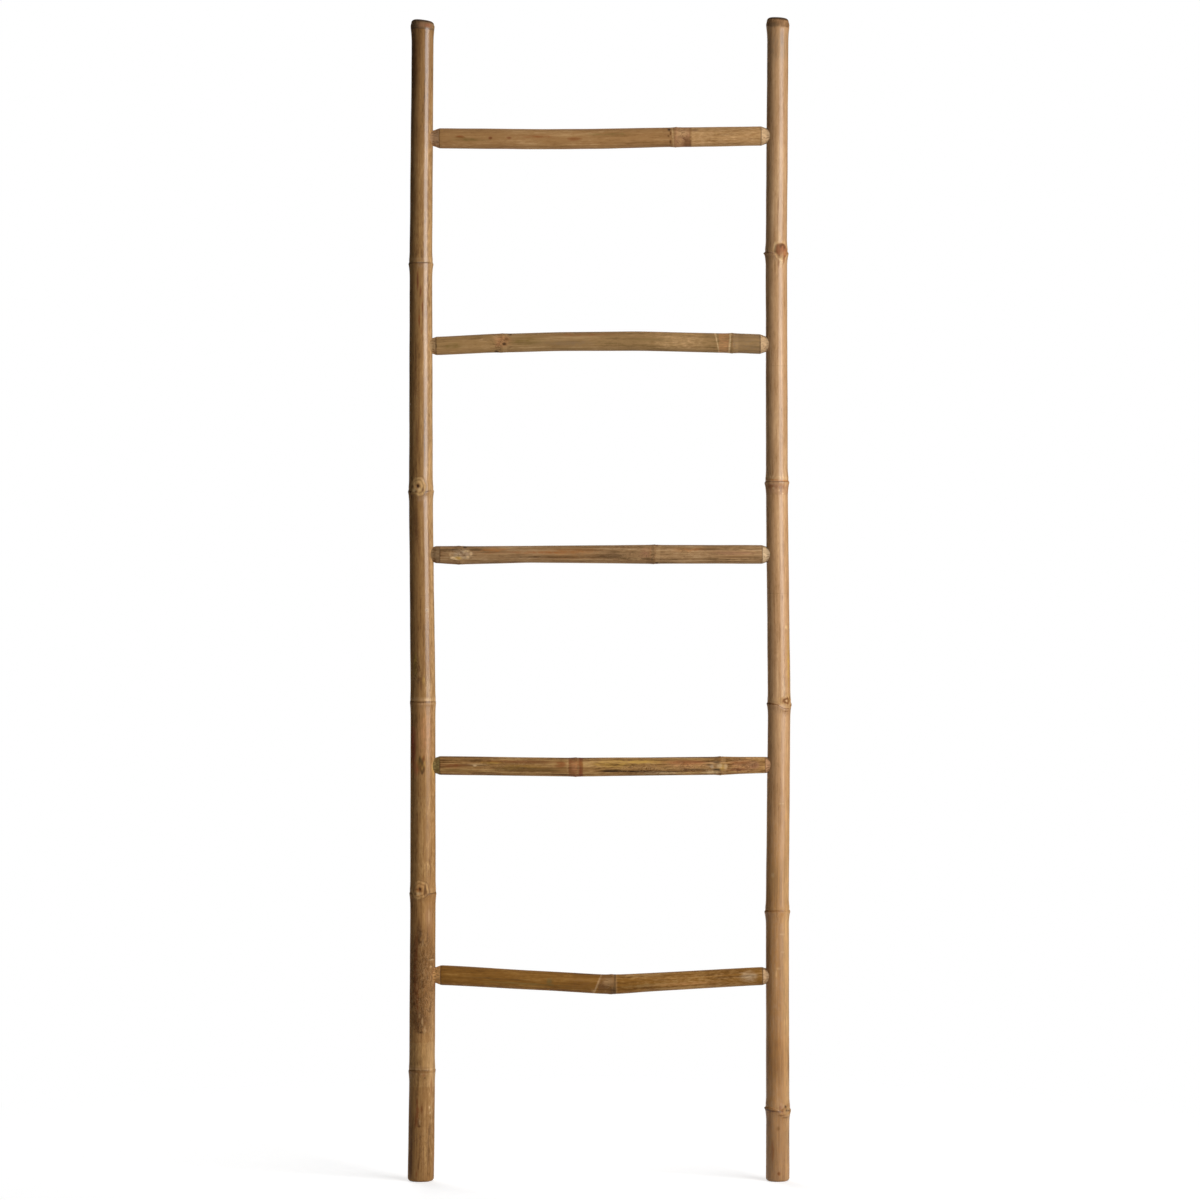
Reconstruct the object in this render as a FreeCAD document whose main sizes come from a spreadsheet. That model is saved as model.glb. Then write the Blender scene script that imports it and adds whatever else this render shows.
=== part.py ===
# A bamboo towel ladder: two poles, five rungs and the ten pegs that lock the rungs.
# It stands upright on the pole ends: +Z is up, +X is right and -Y faces the viewer.
# The origin is on the floor, midway between the poles. All sizes are in millimetres.

import FreeCAD, Part
import os
from collections import namedtuple

# Sizes that the whole ladder shares
COMMON = {
    "ladder_height": 1500.0,
    "pole_spacing": 458.0,  # between the axes of the two poles
    "pole_wall": 6.0,  # thickness of a pole's wall
    "pole_diaphragm": 6.0,  # thickness of the wall that closes a pole at each node
    "pole_flare": 14.0,  # how far a pole's node swells, to each side of the node
    "pole_end_rounding": 2.5,  # sanded edge of a pole's cut ends
    "rung_wall": 6.0,
    "rung_diaphragm": 5.0,
    "rung_flare": 9.0,
    "shoulder_angle": 20.0,  # slope of the cone between a rung and its tenon, in degrees
    "mortise_past_axis": 4.0,  # how far a mortise runs beyond the pole's axis
    "glue_gap": 0.1,  # between a tenon and its mortise, all round
    "peg_diameter": 4.0,
    "peg_point": 2.0,  # length of a peg's pointed tip
    "peg_gap": 0.05,  # between a peg and its hole, all round
    "peg_offset": 3.0,  # from the pole's axis towards the rung
}

# Each pole from the floor up. An internode is the length from one node to the next, the first one
# from the floor. Internodes and top stub are stretched alike to make up the ladder's height. The
# other rows have one number at the floor and one at each node: the culm's diameter, and how far its
# axis strays sideways (+X) and backward (+Y). A collar is the height of the ring that a node raises
# on the culm.
POLES = {
    "left_pole": {
        "internode": (143.0, 228.0, 246.5, 272.0, 293.0, 302.0),
        "diameter": (34.0, 33.4, 33.0, 32.3, 30.9, 29.5, 28.4),
        "sideways": (-2.1, -0.5, 0.6, 0.7, -1.9, -1.9, 0.2),
        "backward": (0.2, 0.8, 1.2, 0.3, -0.9, -1.1, 0.3),
        "collar": (1.1, 1.1, 0.8, 1.4, 1.5, 1.4),
        "top_stub": 15.5,
    },
    "right_pole": {
        "internode": (94.0, 254.0, 268.0, 285.0, 295.5, 289.5),
        "diameter": (30.6, 30.3, 29.9, 29.3, 28.5, 27.8, 27.5),
        "sideways": (0.2, 0.2, -0.3, 2.0, -0.8, -1.5, 0.3),
        "backward": (-0.2, -0.6, -1.0, 0.4, 1.2, 0.5, -0.3),
        "collar": (1.9, 1.9, 1.4, 2.0, 2.0, 1.5),
        "top_stub": 14.0,
    },
}

# Which way each pole lies from the middle of the ladder
SIDE_OF_POLE = {"left_pole": -1, "right_pole": 1}
POLE_OF_SIDE = {"left": "left_pole", "right": "right_pole"}

# A point along a rung: where its distance is measured from, that distance, how far the point lies
# above a straight rung, and the rung's diameter there. A node also has a collar.
Point = namedtuple("Point", "origin reach bow diameter collar", defaults=(None,))

# Each rung, from the top down, one in each internode of the poles. At its left and right ends: the
# rise from the pole's node below, which stretches with the pole, the diameter and the depth of the
# bevel. Then the points between. The bevels leave every tenon 20 mm thick, so one drill makes all
# the mortises.
RUNGS = {
    "top_rung": {
        "rise": (162.0, 150.9),
        "diameter": (26.2, 25.0),
        "bevel": (3.1, 2.5),
        "points": (
            Point("left", 139.0, -2.1, 26.2),
            Point("centre", 2.0, -2.2, 26.0),
            Point("right", 130.0, -0.7, 25.4, 0.7),
        ),
    },
    "upper_rung": {
        "rise": (187.0, 178.0),
        "diameter": (23.6, 25.4),
        "bevel": (1.8, 2.7),
        "points": (
            Point("left", 105.0, 3.3, 24.2, 0.5),
            Point("left", 172.0, 4.8, 24.4),
            Point("centre", 48.0, 5.0, 24.9),
            Point("right", 57.0, 1.6, 25.2, 0.8),
        ),
    },
    "middle_rung": {
        "rise": (190.2, 191.8),
        "diameter": (22.2, 24.1),
        "bevel": (1.1, 2.05),
        "points": (
            Point("left", 49.0, -1.0, 23.4, 0.6),
            Point("left", 139.0, 0.3, 21.9),
            Point("right", 159.0, 0.2, 24.4, 0.6),
        ),
    },
    "lower_rung": {
        "rise": (164.6, 188.3),
        "diameter": (24.1, 20.9),
        "bevel": (2.05, 0.45),
        "points": (
            Point("centre", -31.0, -2.5, 24.2, 0.6),
            Point("right", 75.0, -1.0, 23.2, 0.8),
            Point("right", 50.0, -0.6, 22.0),
        ),
    },
    "bottom_rung": {
        "rise": (122.3, 170.2),
        "diameter": (25.5, 23.2),
        "bevel": (2.75, 1.6),
        "points": (
            Point("left", 164.0, -7.4, 24.8),
            Point("centre", 15.0, -11.4, 25.0, 0.6),
            Point("centre", 64.0, -8.6, 24.0),
        ),
    },
}

# The outline of a node. Along the culm it is given as shares of the flare, upward positive, and
# outward as shares of the collar: a slow swelling, the sharp ring, a groove and a low ridge above.
NODE_OUTLINE = ((-1.0, 0.0), (-0.36, 0.45), (-0.04, 1.0), (0.04, 1.0), (0.1, 0.3), (0.36, 0.4), (1.0, 0.0))
# The outline of the node that ends a pole at the top, up to where the sanded edge begins
TOP_OUTLINE = ((-1.0, 0.0), (-0.36, 0.35), (0.0, 0.7), (0.36, 1.0))
# Turns of a sanded edge at which the culm's outline is given, in degrees
EDGE_TURNS = (0.0, 45.0, 90.0)

FACING_UP = FreeCAD.Rotation()
FACING_UP_TURNED = FreeCAD.Rotation(FreeCAD.Vector(0, 0, 1), 180)
FACING_RIGHT = FreeCAD.Rotation(FreeCAD.Vector(0, 1, 0), 90)
FACING_LEFT = FreeCAD.Rotation(FreeCAD.Vector(0, 1, 0), -90)
FACING_FRONT = FreeCAD.Rotation(FreeCAD.Vector(1, 0, 0), 90)

# The seam of a pole's round faces is on its outer side, away from the mortises
POLE_FACING = {"left_pole": FACING_UP_TURNED, "right_pole": FACING_UP}

# A place on a culm: its axis and the culm's radius there, each an expression
Place = namedtuple("Place", "x y z radius")
# Where a rung enters a pole: the pole's axis and radius at that height and the tenon's radius
Joint = namedtuple("Joint", "rung side pole x y z pole_radius tenon_radius")


def list_sizes():
    """Every driving size by its name."""
    sizes = dict(COMMON)
    for pole, row in POLES.items():
        sizes[f"{pole}_top_stub"] = row["top_stub"]
        for kind in ("internode", "collar"):
            for index, number in enumerate(row[kind], start=1):
                sizes[f"{pole}_{kind}_{index}"] = number
        for kind in ("diameter", "sideways", "backward"):
            for index, number in enumerate(row[kind]):
                sizes[f"{pole}_{kind}_{index}"] = number
    for rung, row in RUNGS.items():
        for kind in ("rise", "diameter", "bevel"):
            for side, number in zip(("left", "right"), row[kind]):
                sizes[f"{rung}_{side}_{kind}"] = number
        for index, point in enumerate(row["points"], start=1):
            for kind in ("reach", "bow", "diameter"):
                sizes[f"{rung}_point_{index}_{kind}"] = getattr(point, kind)
            if point.collar:
                sizes[f"{rung}_point_{index}_collar"] = point.collar
    return sizes


def list_stretches():
    """How much each pole's lengths are stretched, worked out from its driving sizes."""
    stretches = {}
    for pole, row in POLES.items():
        lengths = [f"{pole}_internode_{index}" for index in range(1, len(row["internode"]) + 1)]
        lengths.append(f"{pole}_top_stub")
        stretches[f"{pole}_stretch"] = f"=ladder_height / ({' + '.join(lengths)})"
    return stretches


def write_sheet(doc, sizes):
    """Puts each size in a cell of its own, under its name."""
    sheet = doc.addObject("Spreadsheet::Sheet", "Sizes")
    for row, (name, content) in enumerate(sizes.items(), start=1):
        sheet.set(f"A{row}", str(content))
        sheet.setAlias(f"A{row}", name)
    doc.recompute()


doc = FreeCAD.newDocument("towel_ladder")
write_sheet(doc, list_sizes() | list_stretches())


def size(name):
    return f"Sizes.{name}"


def add(*terms):
    return "(" + " + ".join(terms) + ")"


def between(low, high, share):
    return f"({low} + ({share}) * ({high} - {low}))"


# Building blocks

def ring(name, place, facing):
    """A circle about the culm's axis, square to it."""
    circle = doc.addObject("Part::Circle", name)
    circle.Placement = FreeCAD.Placement(FreeCAD.Vector(), facing)
    for axis in "xyz":
        circle.setExpression(f"Placement.Base.{axis}", getattr(place, axis))
    circle.setExpression("Radius", place.radius)
    return circle


def loft(name, places, facing):
    """A solid that runs straight from each circle to the next."""
    solid = doc.addObject("Part::Loft", name)
    solid.Sections = [ring(f"{name}_ring_{index}", place, facing) for index, place in enumerate(places)]
    solid.Solid = True
    solid.Ruled = True
    return solid


def rod(name, start, length, facing):
    """A cylinder from its start along the way that it faces."""
    solid = doc.addObject("Part::Cylinder", name)
    solid.Placement = FreeCAD.Placement(FreeCAD.Vector(), facing)
    for axis in "xyz":
        solid.setExpression(f"Placement.Base.{axis}", getattr(start, axis))
    solid.setExpression("Radius", start.radius)
    solid.setExpression("Height", length)
    return solid


def group(name, solids):
    compound = doc.addObject("Part::Compound", name)
    compound.Links = solids
    return compound


def cut(name, base, tools):
    result = doc.addObject("Part::Cut", name)
    result.Base = base
    result.Tool = group(f"{name}_tools", tools)
    return result


# Poles

def along_pole(pole, length):
    """A length of a pole, stretched as the pole is."""
    return f"({size(f'{pole}_stretch')} * {length})"


def node_height(pole, index):
    """The height of a pole's node; index 0 is the floor."""
    if index == 0:
        return "0"
    return along_pole(pole, add(*(size(f"{pole}_internode_{step}") for step in range(1, index + 1))))


def pole_place(pole, index, height, outward="0"):
    """The culm as it is at a node, set at the height given and thickened outward."""
    x = add(f"{SIDE_OF_POLE[pole]} * {size('pole_spacing')} / 2", size(f"{pole}_sideways_{index}"))
    radius = add(f"{size(f'{pole}_diameter_{index}')} / 2", outward)
    return Place(x, size(f"{pole}_backward_{index}"), height, radius)


def sanded_edge(pole, index, end, inward):
    """The culm's outline around the edge of a cut end, from the end inward."""
    places = []
    for turn in EDGE_TURNS:
        along = f"{size('pole_end_rounding')} * (1 - cos({turn} deg))"
        less = f"{size('pole_end_rounding')} * (1 - sin({turn} deg))"
        places.append(pole_place(pole, index, f"({end} + {inward} * {along})", f"(-1 * {less})"))
    return places


def pole_outline(pole):
    """The places that the outside of a pole runs through, from the floor up."""
    top = len(POLES[pole]["internode"])
    places = sanded_edge(pole, 0, "0", 1)
    for index in range(1, top + 1):
        outline = TOP_OUTLINE if index == top else NODE_OUTLINE
        for along, outward in outline:
            height = add(node_height(pole, index), f"{along} * {size('pole_flare')}")
            raised = f"{outward} * {size(f'{pole}_collar_{index}')}"
            places.append(pole_place(pole, index, height, raised))
    return places + list(reversed(sanded_edge(pole, top, size("ladder_height"), -1)))


def pole_hollows(pole):
    """One hollow in each internode; the lowest is open at the floor."""
    hollows = []
    thinner = f"(-1 * {size('pole_wall')})"
    for index in range(1, len(POLES[pole]["internode"]) + 1):
        half_wall = f"{size('pole_diaphragm')} / 2"
        low = f"(-1 * {size('pole_wall')})"
        if index > 1:
            low = add(node_height(pole, index - 1), half_wall)
        high = f"({node_height(pole, index)} - {half_wall})"
        ends = (pole_place(pole, index - 1, low, thinner), pole_place(pole, index, high, thinner))
        hollows.append(loft(f"{pole}_hollow_{index}", ends, POLE_FACING[pole]))
    return hollows


def find_joint(rung, side):
    """Where a rung enters a pole, between two of the pole's nodes."""
    pole = POLE_OF_SIDE[side]
    above = len(POLES[pole]["internode"]) - list(RUNGS).index(rung)
    below = above - 1
    rise = along_pole(pole, size(f"{rung}_{side}_rise"))
    internode = along_pole(pole, size(f"{pole}_internode_{above}"))
    flare = size("pole_flare")
    share = f"({rise} - {flare}) / ({internode} - 2 * {flare})"
    height = add(node_height(pole, below), rise)
    low = pole_place(pole, below, height)
    high = pole_place(pole, above, height)
    x = between(low.x, high.x, share)
    y = between(low.y, high.y, share)
    radius = between(low.radius, high.radius, share)
    tenon = f"({size(f'{rung}_{side}_diameter')} / 2 - {size(f'{rung}_{side}_bevel')})"
    return Joint(rung, side, pole, x, y, height, radius, tenon)


def toward_rung(joint):
    """The sign of the way from the pole's axis to the rung."""
    return -SIDE_OF_POLE[joint.pole]


def mortise_floor(joint):
    """Where a mortise ends, past the pole's axis; the tenon's tip lies on it."""
    return f"({joint.x} - {toward_rung(joint)} * {size('mortise_past_axis')})"


def peg_x(joint):
    return f"({joint.x} + {toward_rung(joint)} * {size('peg_offset')})"


def mortise(joint):
    start = mortise_floor(joint)
    radius = add(joint.tenon_radius, size("glue_gap"))
    length = add(size("mortise_past_axis"), f"2 * {joint.pole_radius}")
    facing = FACING_RIGHT if joint.side == "left" else FACING_LEFT
    return rod(f"{joint.rung}_{joint.side}_mortise", Place(start, joint.y, joint.z, radius), length, facing)


def peg_hole(joint, owner, depth):
    """A hole drilled from behind the pole to the depth given in front of the pole's axis."""
    outside = f"2 * {joint.pole_radius}"
    start = Place(peg_x(joint), add(joint.y, outside), joint.z, f"{size('peg_diameter')} / 2")
    name = f"{joint.rung}_{joint.side}_{owner}_peg_hole"
    return rod(name, start, add(outside, depth), FACING_FRONT)


def make_pole(pole, joints):
    culm = loft(f"{pole}_culm", pole_outline(pole), POLE_FACING[pole])
    hollow = cut(f"{pole}_hollow", culm, pole_hollows(pole))
    drilled = cut(f"{pole}_drilled", hollow, [mortise(joint) for joint in joints])
    pegged = cut(pole, drilled, [peg_hole(joint, "pole", "0") for joint in joints])
    pegged.Label = pole
    return pegged


# Rungs

def end_places(joint):
    """A rung's end, from the tenon's tip to the full rung."""
    half = f"{size(f'{joint.rung}_{joint.side}_diameter')} / 2"
    cone = f"{size(f'{joint.rung}_{joint.side}_bevel')} / tan({size('shoulder_angle')} * 1 deg)"
    sign = toward_rung(joint)
    rim = f"({joint.x} + {sign} * {joint.pole_radius})"
    shoulder = f"({rim} + {sign} * {cone})"
    return [
        Place(mortise_floor(joint), joint.y, joint.z, joint.tenon_radius),
        Place(rim, joint.y, joint.z, joint.tenon_radius),
        Place(shoulder, joint.y, joint.z, half),
    ]


def rung_place(rung, index, point, left, right):
    """The rung at one of its points."""
    reach = size(f"{rung}_point_{index}_reach")
    x = {"left": add(left.x, reach), "centre": reach, "right": f"({right.x} - {reach})"}[point.origin]
    share = f"({x} - {left.x}) / ({right.x} - {left.x})"
    y = between(left.y, right.y, share)
    z = add(between(left.z, right.z, share), size(f"{rung}_point_{index}_bow"))
    return Place(x, y, z, f"{size(f'{rung}_point_{index}_diameter')} / 2")


def rung_outline(rung, left, right):
    """The places that the outside of a rung runs through, from left to right."""
    places = end_places(left)
    for index, point in enumerate(RUNGS[rung]["points"], start=1):
        place = rung_place(rung, index, point, left, right)
        if point.collar is None:
            places.append(place)
            continue
        for along, outward in NODE_OUTLINE:
            x = add(place.x, f"{along} * {size('rung_flare')}")
            raised = f"{outward} * {size(f'{rung}_point_{index}_collar')}"
            places.append(place._replace(x=x, radius=add(place.radius, raised)))
    return places + list(reversed(end_places(right)))


def inside(place, x):
    """A place on the wall of the rung's hollow."""
    return place._replace(x=x, radius=f"({place.radius} - {size('rung_wall')})")


def rung_hollows(rung, left, right):
    """One hollow between each two diaphragms; the outer ones are open at the tenons' tips."""
    half_wall = f"{size('rung_diaphragm')} / 2"
    left_end = end_places(left)[-1]
    right_end = end_places(right)[-1]
    open_left = f"({mortise_floor(left)} - {size('rung_wall')})"
    runs = [[inside(left_end, open_left), inside(left_end, left_end.x)]]
    for index, point in enumerate(RUNGS[rung]["points"], start=1):
        place = rung_place(rung, index, point, left, right)
        if point.collar is None:
            runs[-1].append(inside(place, place.x))
            continue
        runs[-1].append(inside(place, f"({place.x} - {half_wall})"))
        runs.append([inside(place, add(place.x, half_wall))])
    open_right = add(mortise_floor(right), size("rung_wall"))
    runs[-1] += [inside(right_end, right_end.x), inside(right_end, open_right)]
    return [loft(f"{rung}_hollow_{index}", run, FACING_RIGHT) for index, run in enumerate(runs, start=1)]


def make_rung(rung, left, right):
    culm = loft(f"{rung}_culm", rung_outline(rung, left, right), FACING_RIGHT)
    hollow = cut(f"{rung}_hollow", culm, rung_hollows(rung, left, right))
    holes = [peg_hole(joint, "rung", f"2 * {joint.tenon_radius}") for joint in (left, right)]
    pegged = cut(rung, hollow, holes)
    pegged.Label = rung
    return pegged


# Pegs

def make_peg(joint):
    """A pointed peg through the tenon, cut to the roundness of the back of the pole."""
    name = f"{joint.rung}_{joint.side}_peg"
    x = peg_x(joint)
    radius = f"({size('peg_diameter')} / 2 - {size('peg_gap')})"
    outside = f"2 * {joint.pole_radius}"
    neck = f"({joint.tenon_radius} - {size('peg_point')} - {size('glue_gap')})"
    start = Place(x, add(joint.y, outside), joint.z, radius)
    shank = rod(f"{name}_shank", start, add(outside, neck), FACING_FRONT)
    tip = doc.addObject("Part::Cone", f"{name}_tip")
    tip.Placement = FreeCAD.Placement(FreeCAD.Vector(), FACING_FRONT)
    tip.setExpression("Placement.Base.x", x)
    tip.setExpression("Placement.Base.y", f"({joint.y} - {neck})")
    tip.setExpression("Placement.Base.z", joint.z)
    tip.setExpression("Radius1", radius)
    tip.setExpression("Radius2", f"{radius} / 2")
    tip.setExpression("Height", size("peg_point"))
    long_peg = doc.addObject("Part::Fuse", f"{name}_long")
    long_peg.Base = shank
    long_peg.Tool = tip
    below = Place(joint.x, joint.y, f"({joint.z} - {size('peg_diameter')})", joint.pole_radius)
    peg = doc.addObject("Part::Common", name)
    peg.Base = long_peg
    peg.Tool = rod(f"{name}_trim", below, f"2 * {size('peg_diameter')}", FACING_UP)
    peg.Label = name
    return peg


# The ladder

def make_ladder():
    joints = {(rung, side): find_joint(rung, side) for rung in RUNGS for side in POLE_OF_SIDE}
    pieces = []
    for side, pole in POLE_OF_SIDE.items():
        pieces.append(make_pole(pole, [joints[rung, side] for rung in RUNGS]))
    for rung in RUNGS:
        pieces.append(make_rung(rung, joints[rung, "left"], joints[rung, "right"]))
    for joint in joints.values():
        pieces.append(make_peg(joint))
    return pieces


def check(pieces):
    """Stops the build when any object failed or any piece is not one sound solid."""
    for item in doc.Objects:
        if {"Invalid", "Error"} & set(item.State):
            raise RuntimeError(f"{item.Label} did not build: {item.State}")
    for piece in pieces:
        shape = piece.Shape
        if shape.isNull() or not shape.isValid() or len(shape.Solids) != 1:
            raise RuntimeError(f"{piece.Label} is not one sound solid")


pieces = make_ladder()
doc.recompute()
check(pieces)
os.makedirs("parts", exist_ok=True)
for piece in pieces:
    piece.Shape.exportStep(f"parts/{piece.Label}.step")
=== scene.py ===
# The looks of the bamboo towel ladder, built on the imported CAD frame.
# The frame is in metres with Z up, and the viewer is on the -Y side. Sizes are in millimetres
# unless a heading says otherwise.

import bmesh
import bpy
import math
import numpy as np
from collections import namedtuple
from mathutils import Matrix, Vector
from mathutils.bvhtree import BVHTree


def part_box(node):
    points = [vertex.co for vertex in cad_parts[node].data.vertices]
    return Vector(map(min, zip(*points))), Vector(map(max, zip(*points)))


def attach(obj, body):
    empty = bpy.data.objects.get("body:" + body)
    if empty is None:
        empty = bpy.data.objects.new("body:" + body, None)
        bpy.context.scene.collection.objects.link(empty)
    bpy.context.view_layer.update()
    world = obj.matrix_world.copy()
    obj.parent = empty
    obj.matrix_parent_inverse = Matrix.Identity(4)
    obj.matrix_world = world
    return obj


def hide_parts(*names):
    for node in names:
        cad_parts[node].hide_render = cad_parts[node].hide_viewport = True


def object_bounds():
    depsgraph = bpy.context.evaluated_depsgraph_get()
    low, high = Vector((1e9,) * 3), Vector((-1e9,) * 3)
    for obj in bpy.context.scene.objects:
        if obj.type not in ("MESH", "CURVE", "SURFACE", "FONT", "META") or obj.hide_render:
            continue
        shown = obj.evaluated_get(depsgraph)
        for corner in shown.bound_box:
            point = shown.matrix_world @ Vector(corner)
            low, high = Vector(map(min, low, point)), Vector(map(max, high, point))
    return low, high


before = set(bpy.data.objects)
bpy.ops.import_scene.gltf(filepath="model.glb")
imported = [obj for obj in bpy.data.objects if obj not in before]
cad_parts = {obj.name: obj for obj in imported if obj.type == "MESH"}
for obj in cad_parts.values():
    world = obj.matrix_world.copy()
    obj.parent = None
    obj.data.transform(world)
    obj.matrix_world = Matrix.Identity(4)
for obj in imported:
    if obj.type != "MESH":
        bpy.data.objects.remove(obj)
cad_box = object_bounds()

MM = 0.001

# Camera: the photo is square, 1200 pixels wide
PHOTO_PIXELS = 1200
PIXEL = 1.2898  # what one pixel spans at the ladder
CAMERA_DISTANCE = 5500.0
CAMERA_HEIGHT = 749.0
SENSOR = 36.0

# How finely the culms are traced and built
TRACE_STEP = 0.5
TRACE_RAYS = 20
TRACE_REACH = 60.0  # rays start this far from the culm's middle
TRACE_HOLE = 0.6  # a hit this much deeper than the rest is in a hole
CENTRE_BLUR = 10.0
RADIUS_BLUR = 0.6
LEAST_COLLAR = 0.25  # what a node stands out by at least
POLE_COLUMNS = 96
RUNG_COLUMNS = 72
COARSE_STEP = 5.0
FINE_STEP = 0.8
NODE_REACH = 22.0  # fine rows to each side of a node
PEG_REACH = 5.0
MARK_STEP = 1.6
SMALL_MARK = 14.0  # marks shorter than this get rows of their own
MARK_REACH = 1.2  # of a mark's length
MARK_MARGIN = 1.0
RING_REACH = 3.0
SHOULDER_REACH = (14.0, 36.0)  # fine rows on a rung's cone, from the tenon's tip
SHOULDER_EDGE = 0.25  # the full culm starts this near to its radius
SHARP_EDGE = 55  # degrees
UV_MARGIN = 0.01

# Cut ends
FOOT_ROUNDING = 4.2
TOP_ROUNDING = 4.5
EDGE_ROWS = 7
CUT_TURN = 0.35  # radians of a sanded edge that show cut wood
CULM_WALL = 6.0
DIAPHRAGM_HALF = 3.0
TOP_DISH = 2.6
DISH_ROWS = ((0.7, 0.48), (1.0, 0.2))  # shares of its depth and of the radius
TOP_CUT_REACH = 9.0  # how far down a slanted cut bends the rows
TENON_WALL = 3.5
TENON_BORE = 25.0
BORE_EDGE = 0.6
BORE_ROWS = 8

# Relief
POLE_FLARE = 14.0
RUNG_FLARE = 9.0
SWAY_REACH = 24.0  # how far a scar line's sway bends the culm around it
OVAL = 0.004  # of the radius
DIP_REACH = 0.75  # radians of a scar line that dip under a knot
SWAYS = ((1, 0.5), (2, 0.25))  # waves around a culm and their usual size
LUMPS = 0.1
LUMP_WAVES = 7
LUMP_SUM = 2.6  # what so many waves come to
LUMP_LENGTHS = (50, 220)
PHASES = (0, 6)  # where random waves start, in radians
FULL_TURN = 6.28
SPUR_REACH = (4.0, 1.2)  # around and along the culm
PEG_DENT = 0.35
PEG_DENT_RADIUS = 3.0
NODE_FIELD = 40  # how far from a node its bands can reach

# A culm's own directions: along it, to the back, and to the side from which turns are counted
Axes = namedtuple("Axes", "along back side sign")
POLE_AXES = Axes((0, 0, 1), (0, 1, 0), (-1, 0, 0), 1)
RUNG_AXES = Axes((1, 0, 0), (0, 1, 0), (0, 0, 1), -1)

POLES = ("left_pole", "right_pole")
RUNGS = ("top_rung", "upper_rung", "middle_rung", "lower_rung", "bottom_rung")


def srgb(red, green, blue):
    """A colour written in the usual 0 to 255, as linear light."""
    shares = np.array((red, green, blue)) / 255
    return tuple(np.where(shares <= 0.04045, shares / 12.92, ((shares + 0.055) / 1.055) ** 2.4))


CREAM = srgb(214, 180, 132)
PALE = srgb(186, 148, 102)
PALE_GREY = srgb(176, 152, 122)
GREY_BROWN = srgb(122, 98, 72)
TAN = srgb(172, 132, 82)
GOLD = srgb(196, 156, 102)
WARM = srgb(158, 112, 64)
OLIVE = srgb(114, 90, 46)
YELLOW = srgb(180, 140, 66)
ORANGE = srgb(172, 108, 52)
RUST = srgb(128, 76, 38)
RED_BROWN = srgb(120, 68, 38)
BUD = srgb(142, 92, 60)
MAROON = srgb(162, 80, 52)
PINK_BROWN = srgb(156, 112, 80)
PINK_TAN = srgb(178, 126, 82)
MAUVE = srgb(116, 79, 42)
BROWN = srgb(104, 68, 36)
CRACK = srgb(78, 48, 24)
DARK = srgb(58, 38, 22)
HOLE = srgb(40, 16, 4)
BLACK = srgb(28, 18, 12)

# A mark along a culm, as a height on a pole or an x on a rung. A turn is in degrees from the front:
# to the right on a pole, upward on a rung. Lengths and widths are halves. A slant leans a ring.
Patch = namedtuple("Patch", "at turn length width colour strength")
Ring = namedtuple("Ring", "start end colour strength slant", defaults=(0.0,))

# A scar where a branch grew, on one of a pole's nodes. Its rise is how far above the scar line its
# middle is, its width and height are halves, and the scar line dips under it.
Knot = namedtuple("Knot", "node turn rise width height lift kind dip")
KNOTS = {
    "left_pole": (
        Knot(0, 170, 5, 8, 11, 0.9, "eye", 2.0),
        Knot(1, -12, 5, 13.5, 13.5, 0.9, "eye", 2.5),
        Knot(2, 172, 5, 7, 10, 0.8, "eye", 2.0),
        Knot(3, -12, 6, 13, 13.5, 1.1, "eye", 3.0),
        Knot(4, 176, 5, 7, 10, 0.9, "eye", 2.0),
    ),
    "right_pole": (
        Knot(0, 38, 1, 5, 4.5, 0.7, "dots", 8.0),
        Knot(1, -148, 3, 6, 6, 1.2, "bud", 5.0),
        Knot(2, 36, 3.5, 10, 5.8, 1.2, "ring", 8.0),
        Knot(3, -146, 3, 7, 8, 1.5, "bud", 4.0),
        Knot(4, 27, 2.5, 10, 11, 2.0, "bud", 5.0),
    ),
}
# What each kind of scar is made of: discs (at 0) and rings (at a share of its size), with a width and
# power of its edge. A form has a height, as a share of the knot's lift; a coat a colour and strength.
Form = namedtuple("Form", "lift at width power")
Coat = namedtuple("Coat", "colour strength at width power")
KNOT_FORMS = {
    "eye": (Form(1.0, 0, 1.0, 4), Form(-0.35, 0.85, 0.1, 2), Form(-0.2, 0.5, 0.1, 2), Form(-1.0, 0, 0.18, 2)),
    "bud": (Form(1.0, 0, 0.85, 3), Form(-0.3, 1.0, 0.12, 2)),
    "ring": (Form(1.0, 0, 0.8, 3), Form(-0.3, 1.0, 0.12, 2), Form(-0.5, 0, 0.35, 2)),
    "dots": (Form(1.0, 0, 0.9, 3), Form(-0.5, 0, 0.3, 2)),
}
KNOT_COATS = {
    "eye": (
        Coat(GOLD, 0.75, 0, 0.95, 6), Coat(BROWN, 0.7, 0.93, 0.07, 2), Coat(BROWN, 0.7, 0.6, 0.07, 2),
        Coat(RUST, 0.75, 0.2, 0.12, 2), Coat(HOLE, 1.0, 0, 0.13, 3),
    ),
    "bud": (
        Coat(PALE, 0.6, 0.95, 0.35, 2), Coat(BUD, 0.9, 0, 0.8, 5), Coat(RED_BROWN, 0.55, 0.75, 0.14, 2),
    ),
    "ring": (
        Coat(PALE, 0.65, 1.0, 0.35, 2), Coat(RUST, 0.8, 0.42, 0.2, 2), Coat(BROWN, 0.8, 0.42, 0.15, 2),
        Coat(CREAM, 0.5, 0, 0.18, 3),
    ),
    "dots": (Coat(PALE, 0.6, 0.8, 0.4, 2), Coat(BROWN, 0.85, 0.45, 0.2, 2), Coat(BLACK, 1.0, 0, 0.25, 2)),
}

# Sharp points where a node's ring stands out at the side: node, turn and height
SPURS = {"right_pole": ((0, -88, 0.9), (4, -88, 1.1), (2, -86, 0.4), (2, 84, 0.4))}
# How far the cut at a pole's top lies below the full height, at its left and at its right
TOP_CUTS = {"left_pole": (2.4, 5.0), "right_pole": (0.0, 1.2)}


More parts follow.
